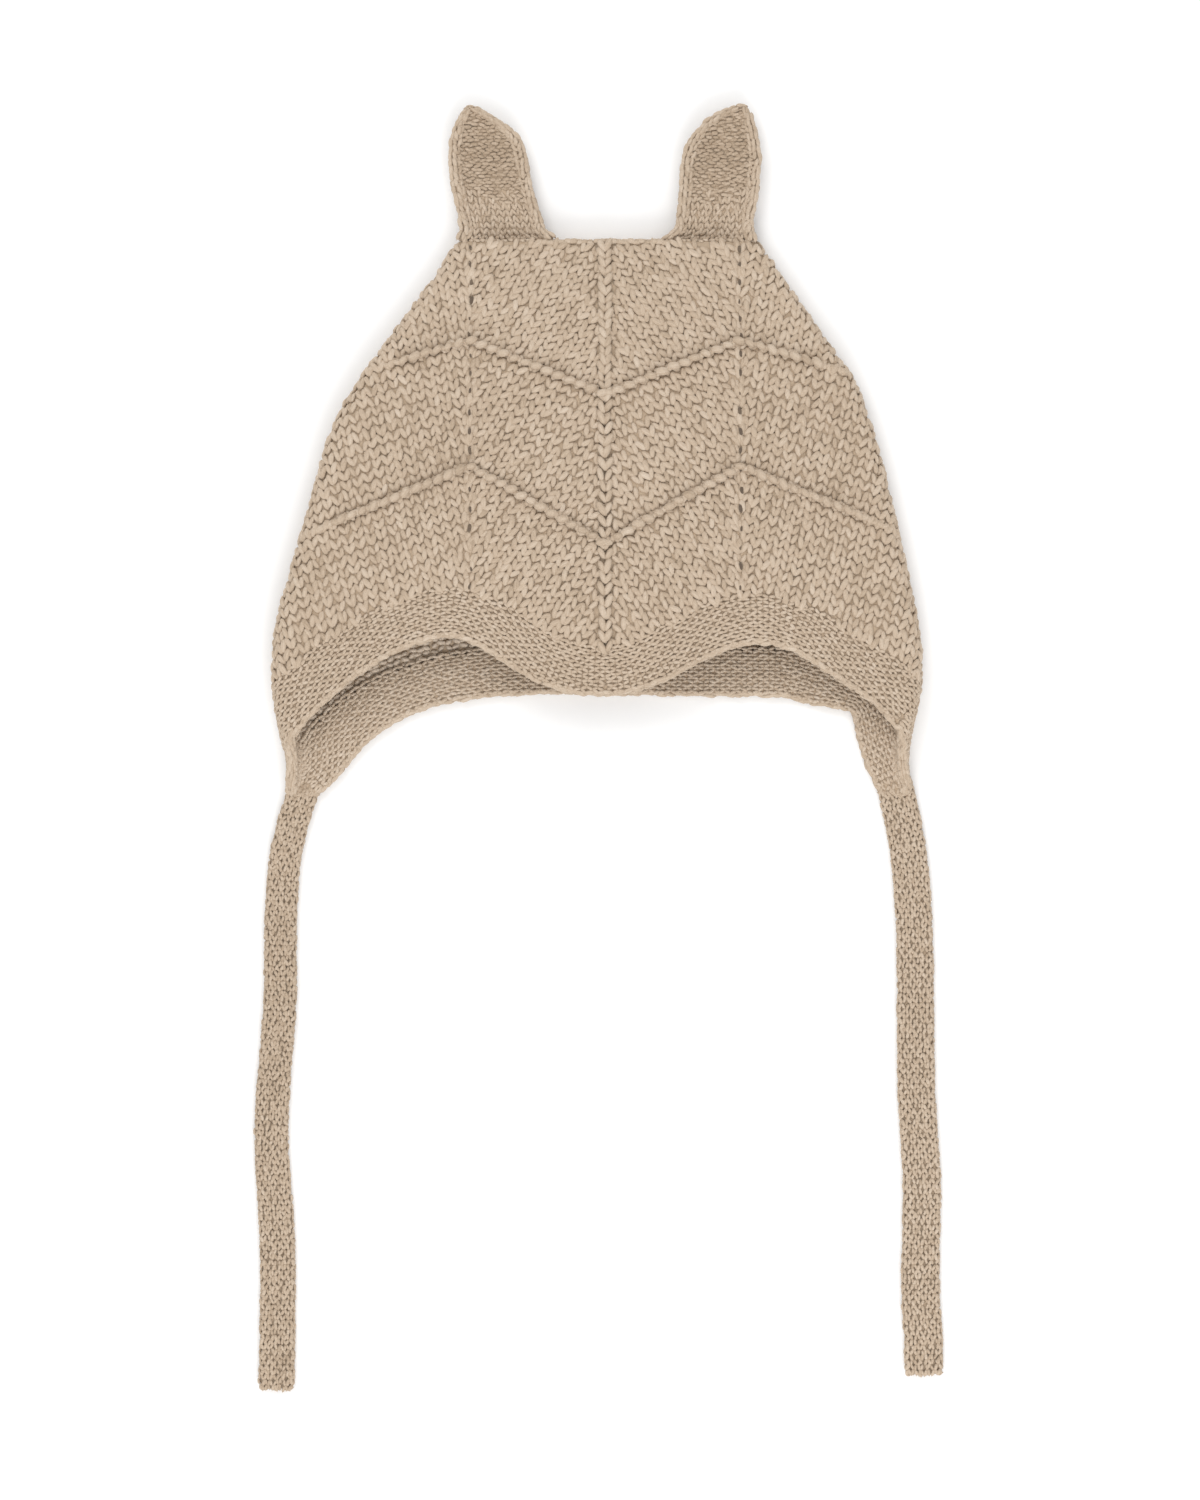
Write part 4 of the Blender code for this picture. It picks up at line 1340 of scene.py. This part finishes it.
def top_seam_strands():
    """Short strands from front to back over the closed top, at two shares of its height."""
    groups = []
    for side in (-1, 1):
        end = at(WIDTHS[side], 1.0)
        across = np.arange(TOP_SEAM_PITCH / 2.0, end - TOP_SEAM_PITCH / 2.0, TOP_SEAM_PITCH)
        top = wall(side, across, np.ones(len(across)))[:, 2]
        for share, lean in TOP_SEAM_STRANDS:
            behind = np.full(len(across), CROWN_LENGTH / 2.0 - STRAND_DEPTH)
            place = np.stack([side * across, behind, top * share], axis=-1)
            along = np.tile([lean, 0.0, 1.0], (len(across), 1))
            facing = np.tile([0.0, 1.0, 0.0], (len(across), 1))
            groups.append(strands_of(place, unit(along), facing))
    return gathered(groups)


seam_groups = [top_seam_strands()]
for side in (-1, 1):
    top_heights = np.full(len(SEAM_STATIONS), 1.0 - TOP_ROW_DROP / CROWN_LENGTH)
    top_marks = even_marks(side, SEAM_STATIONS, top_heights, TOP_SEAM_PITCH)
    top_row = strands_on_line(side, SEAM_STATIONS, top_heights, STRAND_DEPTH, top_marks)
    between_ears = np.abs(top_row["place"][:, 0]) < EAR_INNER_END
    seam_groups.append({key: values[between_ears] for key, values in top_row.items()})
dress(knit("crown_seams", gathered(seam_groups), KNIT_SEED + 42, **BUMP), "stockinette_wool")
dress(knit("crown_inside", inside_strands(), KNIT_SEED + 43, **BUMP, **PLAIN_STEPS), "stockinette_wool")

# %% [markdown]
# The ears. Each is a leaf-shaped cup, knitted separately and sewn to the top seam. The lower part shows V
# stitches, the hollow of the cup shows the purl side with finer bumps, and a rolled edge of longer strands
# runs round it. The outline of each ear is a short table: its half width and how far it leans outwards,
# both as shares of the ear's width. A second table gives the rows of the rim: the share across, the depth
# as a share of the wall, the swing and the size.

# %% Ears
EAR_WIDTH = 0.0270
EAR_HEIGHT = 0.0414
EAR_WALL = 0.0028
EAR_CUP = 0.0045
EAR_TIP_LIFT = 0.0030
EAR_GAP = 0.0003
EAR_STITCH = 0.0023
EAR_ROW = 0.0020
EAR_RIM_PITCH = 0.0021
EAR_LINE_STEP = 0.0008
EAR_RIM_COUNT = 201
EAR_STEP_ACROSS, EAR_STEP_UP = 0.02, 0.01
EAR_FIRST_ROW, EAR_LAST_ROW = 0.01, 0.97
EAR_FOOT, EAR_FOOT_CURVE, EAR_FOOT_SPREAD = 0.30, 0.14, 0.035
# Painted shade in the cup of an ear: the purl bumps are a little darker, and darkest in the middle of the
# hollow.
EAR_PAINTED_SHADE_HEIGHT, EAR_PAINTED_SHADE_REACH = 0.66, 0.34
EAR_PURL_PAINTED_SHADE, EAR_HOLLOW_PAINTED_SHADE = -0.10, -0.30
EAR_V_PLUMP, EAR_BUMP_PLUMP, EAR_BUMP_RISE = 0.70, 0.66, 0.2
EAR_TIP_START, EAR_TIP_SHARE = 0.955, 0.4
EAR_GROUND_COUNT = 13
EAR_GROUND_SHARES = np.linspace(-0.95, 0.95, EAR_GROUND_COUNT)
EAR_GROUND_HEIGHTS = np.linspace(0.005, 0.985, 22)
EAR_RIM_ROWS = (
    (0.97, 0.0, 0.0, 0.90),
    (0.93, 0.34, 0.22, 0.76),
    (0.80, 0.30, -0.22, 0.76),
    (0.93, -0.34, 0.22, 0.76),
    (0.80, -0.30, -0.22, 0.76),
)
EAR_HALF_WIDTH, EAR_LEAN = 1, 2
EARS = {
    "left_ear": (-1, (
        (0.00, 0.590, -0.060), (0.06, 0.520, -0.030), (0.16, 0.500, 0.010), (0.32, 0.485, 0.075),
        (0.48, 0.475, 0.130), (0.62, 0.462, 0.155), (0.72, 0.430, 0.175), (0.80, 0.375, 0.205),
        (0.87, 0.285, 0.250), (0.94, 0.160, 0.310), (1.00, 0.040, 0.350),
    )),
    "right_ear": (1, (
        (0.00, 0.570, -0.050), (0.06, 0.490, -0.005), (0.16, 0.465, 0.015), (0.32, 0.470, 0.050),
        (0.48, 0.475, 0.070), (0.62, 0.465, 0.090), (0.70, 0.435, 0.105), (0.78, 0.385, 0.130),
        (0.86, 0.310, 0.170), (0.93, 0.215, 0.230), (1.00, 0.060, 0.320),
    )),
}


class Ear:
    """The cupped sheet of one ear, with places named by a share across it and a height share."""

    def __init__(self, name):
        """Take the outline of one ear."""
        self.side, table = EARS[name]
        self.half_widths = read_smooth(table, EAR_HALF_WIDTH) * EAR_WIDTH
        self.leans = read_smooth(table, EAR_LEAN) * EAR_WIDTH
        self.seam_end = at(WIDTHS[self.side], 1.0)

    def point(self, share, height, level):
        """Points of the sheet, a level from the middle of its wall towards the front."""
        height = np.clip(height, 0.0, 1.0)
        half_width = at(self.half_widths, height)
        middle = self.side * (self.seam_end - EAR_WIDTH / 2.0 + at(self.leans, height))
        cup = EAR_CUP * half_width * 2.0 / EAR_WIDTH
        slope = 2.0 * cup * share / half_width
        length = np.sqrt(1.0 + slope ** 2)
        reach = half_width - EAR_WALL / 2.0 * np.abs(slope / length)
        x = middle + share * reach - slope / length * level
        y = CROWN_LENGTH / 2.0 + EAR_GAP + height * EAR_HEIGHT
        z = EAR_WALL / 2.0 + EAR_TIP_LIFT * height ** 2 + cup * share ** 2 + level / length
        return np.stack([x, y + 0.0 * x, z], axis=-1)

    def frames(self, share, height, level):
        """Points with their directions: across, up the ear and out of its front."""
        left, right = (self.point(share + step, height, level)
                       for step in (-EAR_STEP_ACROSS, EAR_STEP_ACROSS))
        low, high = (self.point(share, np.clip(height + step, 0.0, 1.0), level)
                     for step in (-EAR_STEP_UP, EAR_STEP_UP))
        across = unit(right - left)
        up = unit(high - low)
        return self.point(share, height, level), across, up, unit(np.cross(across, up))


def ear_lattice(ear):
    """Stitch places of an ear in level rows: shares across and heights."""
    shares, heights = [], []
    for height in np.arange(EAR_FIRST_ROW, EAR_LAST_ROW, EAR_ROW / EAR_HEIGHT):
        half_width = float(at(ear.half_widths, height))
        count = max(int((2.0 * half_width - EAR_ROW) / EAR_STITCH), 1)
        places = (np.arange(count) + 0.5) / count * 2.0 - 1.0
        shares.append(places * (1.0 - EAR_ROW / 2.0 / half_width))
        heights.append(np.full(count, height))
    return np.concatenate(shares), np.concatenate(heights)


def ear_vs(ear, shares, heights, level, face):
    """V stitches on one face of an ear."""
    point, across, up, facing = ear.frames(shares, heights, level)
    return vs(point, across, up, across, EAR_STITCH * LEG_SHARE, facing * face, EAR_V_PLUMP)


def ear_bumps(ear, shares, heights, level):
    """Purl bumps in the hollow of an ear, with painted shade of the cup, darkest where the cup is deepest."""
    groups = []
    away = np.abs(heights - EAR_PAINTED_SHADE_HEIGHT) / EAR_PAINTED_SHADE_REACH
    shade = EAR_PURL_PAINTED_SHADE + EAR_HOLLOW_PAINTED_SHADE * (np.clip(1.0 - away, 0.0, 1.0) * (1.0 - shares ** 2))
    point, across, up, facing = ear.frames(shares, heights, level)
    for turn in (1.0, -1.0):
        place = point - across * turn * LEG_SHARE * EAR_STITCH + up * turn * LEG_SHARE * EAR_ROW
        along = unit(across * turn + up * EAR_BUMP_RISE)
        groups.append(strands_of(place, along, facing, EAR_BUMP_PLUMP, shade))
    return gathered(groups)


def ear_front(ear, level):
    """The front of an ear: Vs at the foot, purl bumps above a ragged curve."""
    shares, heights = ear_lattice(ear)
    ragged = np.random.default_rng(KNIT_SEED).normal(0.0, EAR_FOOT_SPREAD, len(heights))
    foot = heights < EAR_FOOT + EAR_FOOT_CURVE * shares ** 2 + ragged
    return gathered([ear_vs(ear, shares[foot], heights[foot], level, 1.0),
                     ear_bumps(ear, shares[~foot], heights[~foot], level)])


def ear_rim(ear):
    """The soft edge of an ear: a chain of Vs on each face and one row round the edge itself."""
    groups = []
    heights = np.linspace(0.0, 1.0, EAR_RIM_COUNT)
    for edge in (-1.0, 1.0):
        for share, depth, swing, plump in EAR_RIM_ROWS:
            level = depth * EAR_WALL
            line = ear.point(np.full(EAR_RIM_COUNT, edge * share), heights, level)
            lengths = lengths_along(line)
            marks = (np.arange(int(lengths[-1] / EAR_RIM_PITCH)) + 0.5) * EAR_RIM_PITCH
            height = np.interp(marks, lengths, heights)
            point, across, up, facing = ear.frames(np.full(len(marks), edge * share), height, level)
            ahead = along_line(line, lengths, marks, EAR_LINE_STEP)
            along = ahead * math.cos(swing) + across * edge * math.sin(swing)
            outwards = facing * np.sign(level) if level else across * edge
            groups.append(strands_of(point, along, outwards, plump))
    tip_heights = np.repeat(np.linspace(EAR_TIP_START, 1.0, 3), 2)
    tip_shares = np.tile([-EAR_TIP_SHARE, EAR_TIP_SHARE], 3)
    for face in (-1.0, 1.0):
        point, across, up, facing = ear.frames(tip_shares, tip_heights, face * EAR_WALL * 0.25)
        facing = unit(facing * face + up * tip_heights[:, None])
        groups.append(strands_of(point, across, facing, EAR_V_PLUMP))
    return gathered(groups)


def ear_ground(name, ear):
    """The sheet under the strands of an ear, a closed shell."""
    mesh = bmesh.new()
    rings = []
    level = EAR_WALL / 2.0 - GROUND_DEPTH
    for height in EAR_GROUND_HEIGHTS:
        front = ear.point(EAR_GROUND_SHARES, height, level)
        back = ear.point(EAR_GROUND_SHARES[::-1], height, -level)
        rings.append([mesh.verts.new(point) for point in np.concatenate([front, back])])
    for lower, upper in zip(rings, rings[1:]):
        join_rings(mesh, lower, upper)
    for ring in (rings[0], rings[-1]):
        for step in range(EAR_GROUND_COUNT - 1):
            mesh.faces.new((ring[step], ring[step + 1], ring[-step - 2], ring[-step - 1]))
    return add_piece(name, mesh, GROUND)


for ear_name in EARS:
    ear = Ear(ear_name)
    top_level = EAR_WALL / 2.0 - STRAND_DEPTH
    ear_back = ear_vs(ear, *ear_lattice(ear), -top_level, -1.0)
    dress(ear_ground(ear_name + "_ground", ear), "ear_wool", ear_name)
    dress(knit(ear_name + "_front", ear_front(ear, top_level), KNIT_SEED + 50, **V_STITCH), "ear_wool")
    dress(knit(ear_name + "_back", ear_back, KNIT_SEED + 51, **V_STITCH, **PLAIN_STEPS), "ear_wool")
    dress(knit(ear_name + "_rim", ear_rim(ear), KNIT_SEED + 52, **V_STITCH), "ear_wool")
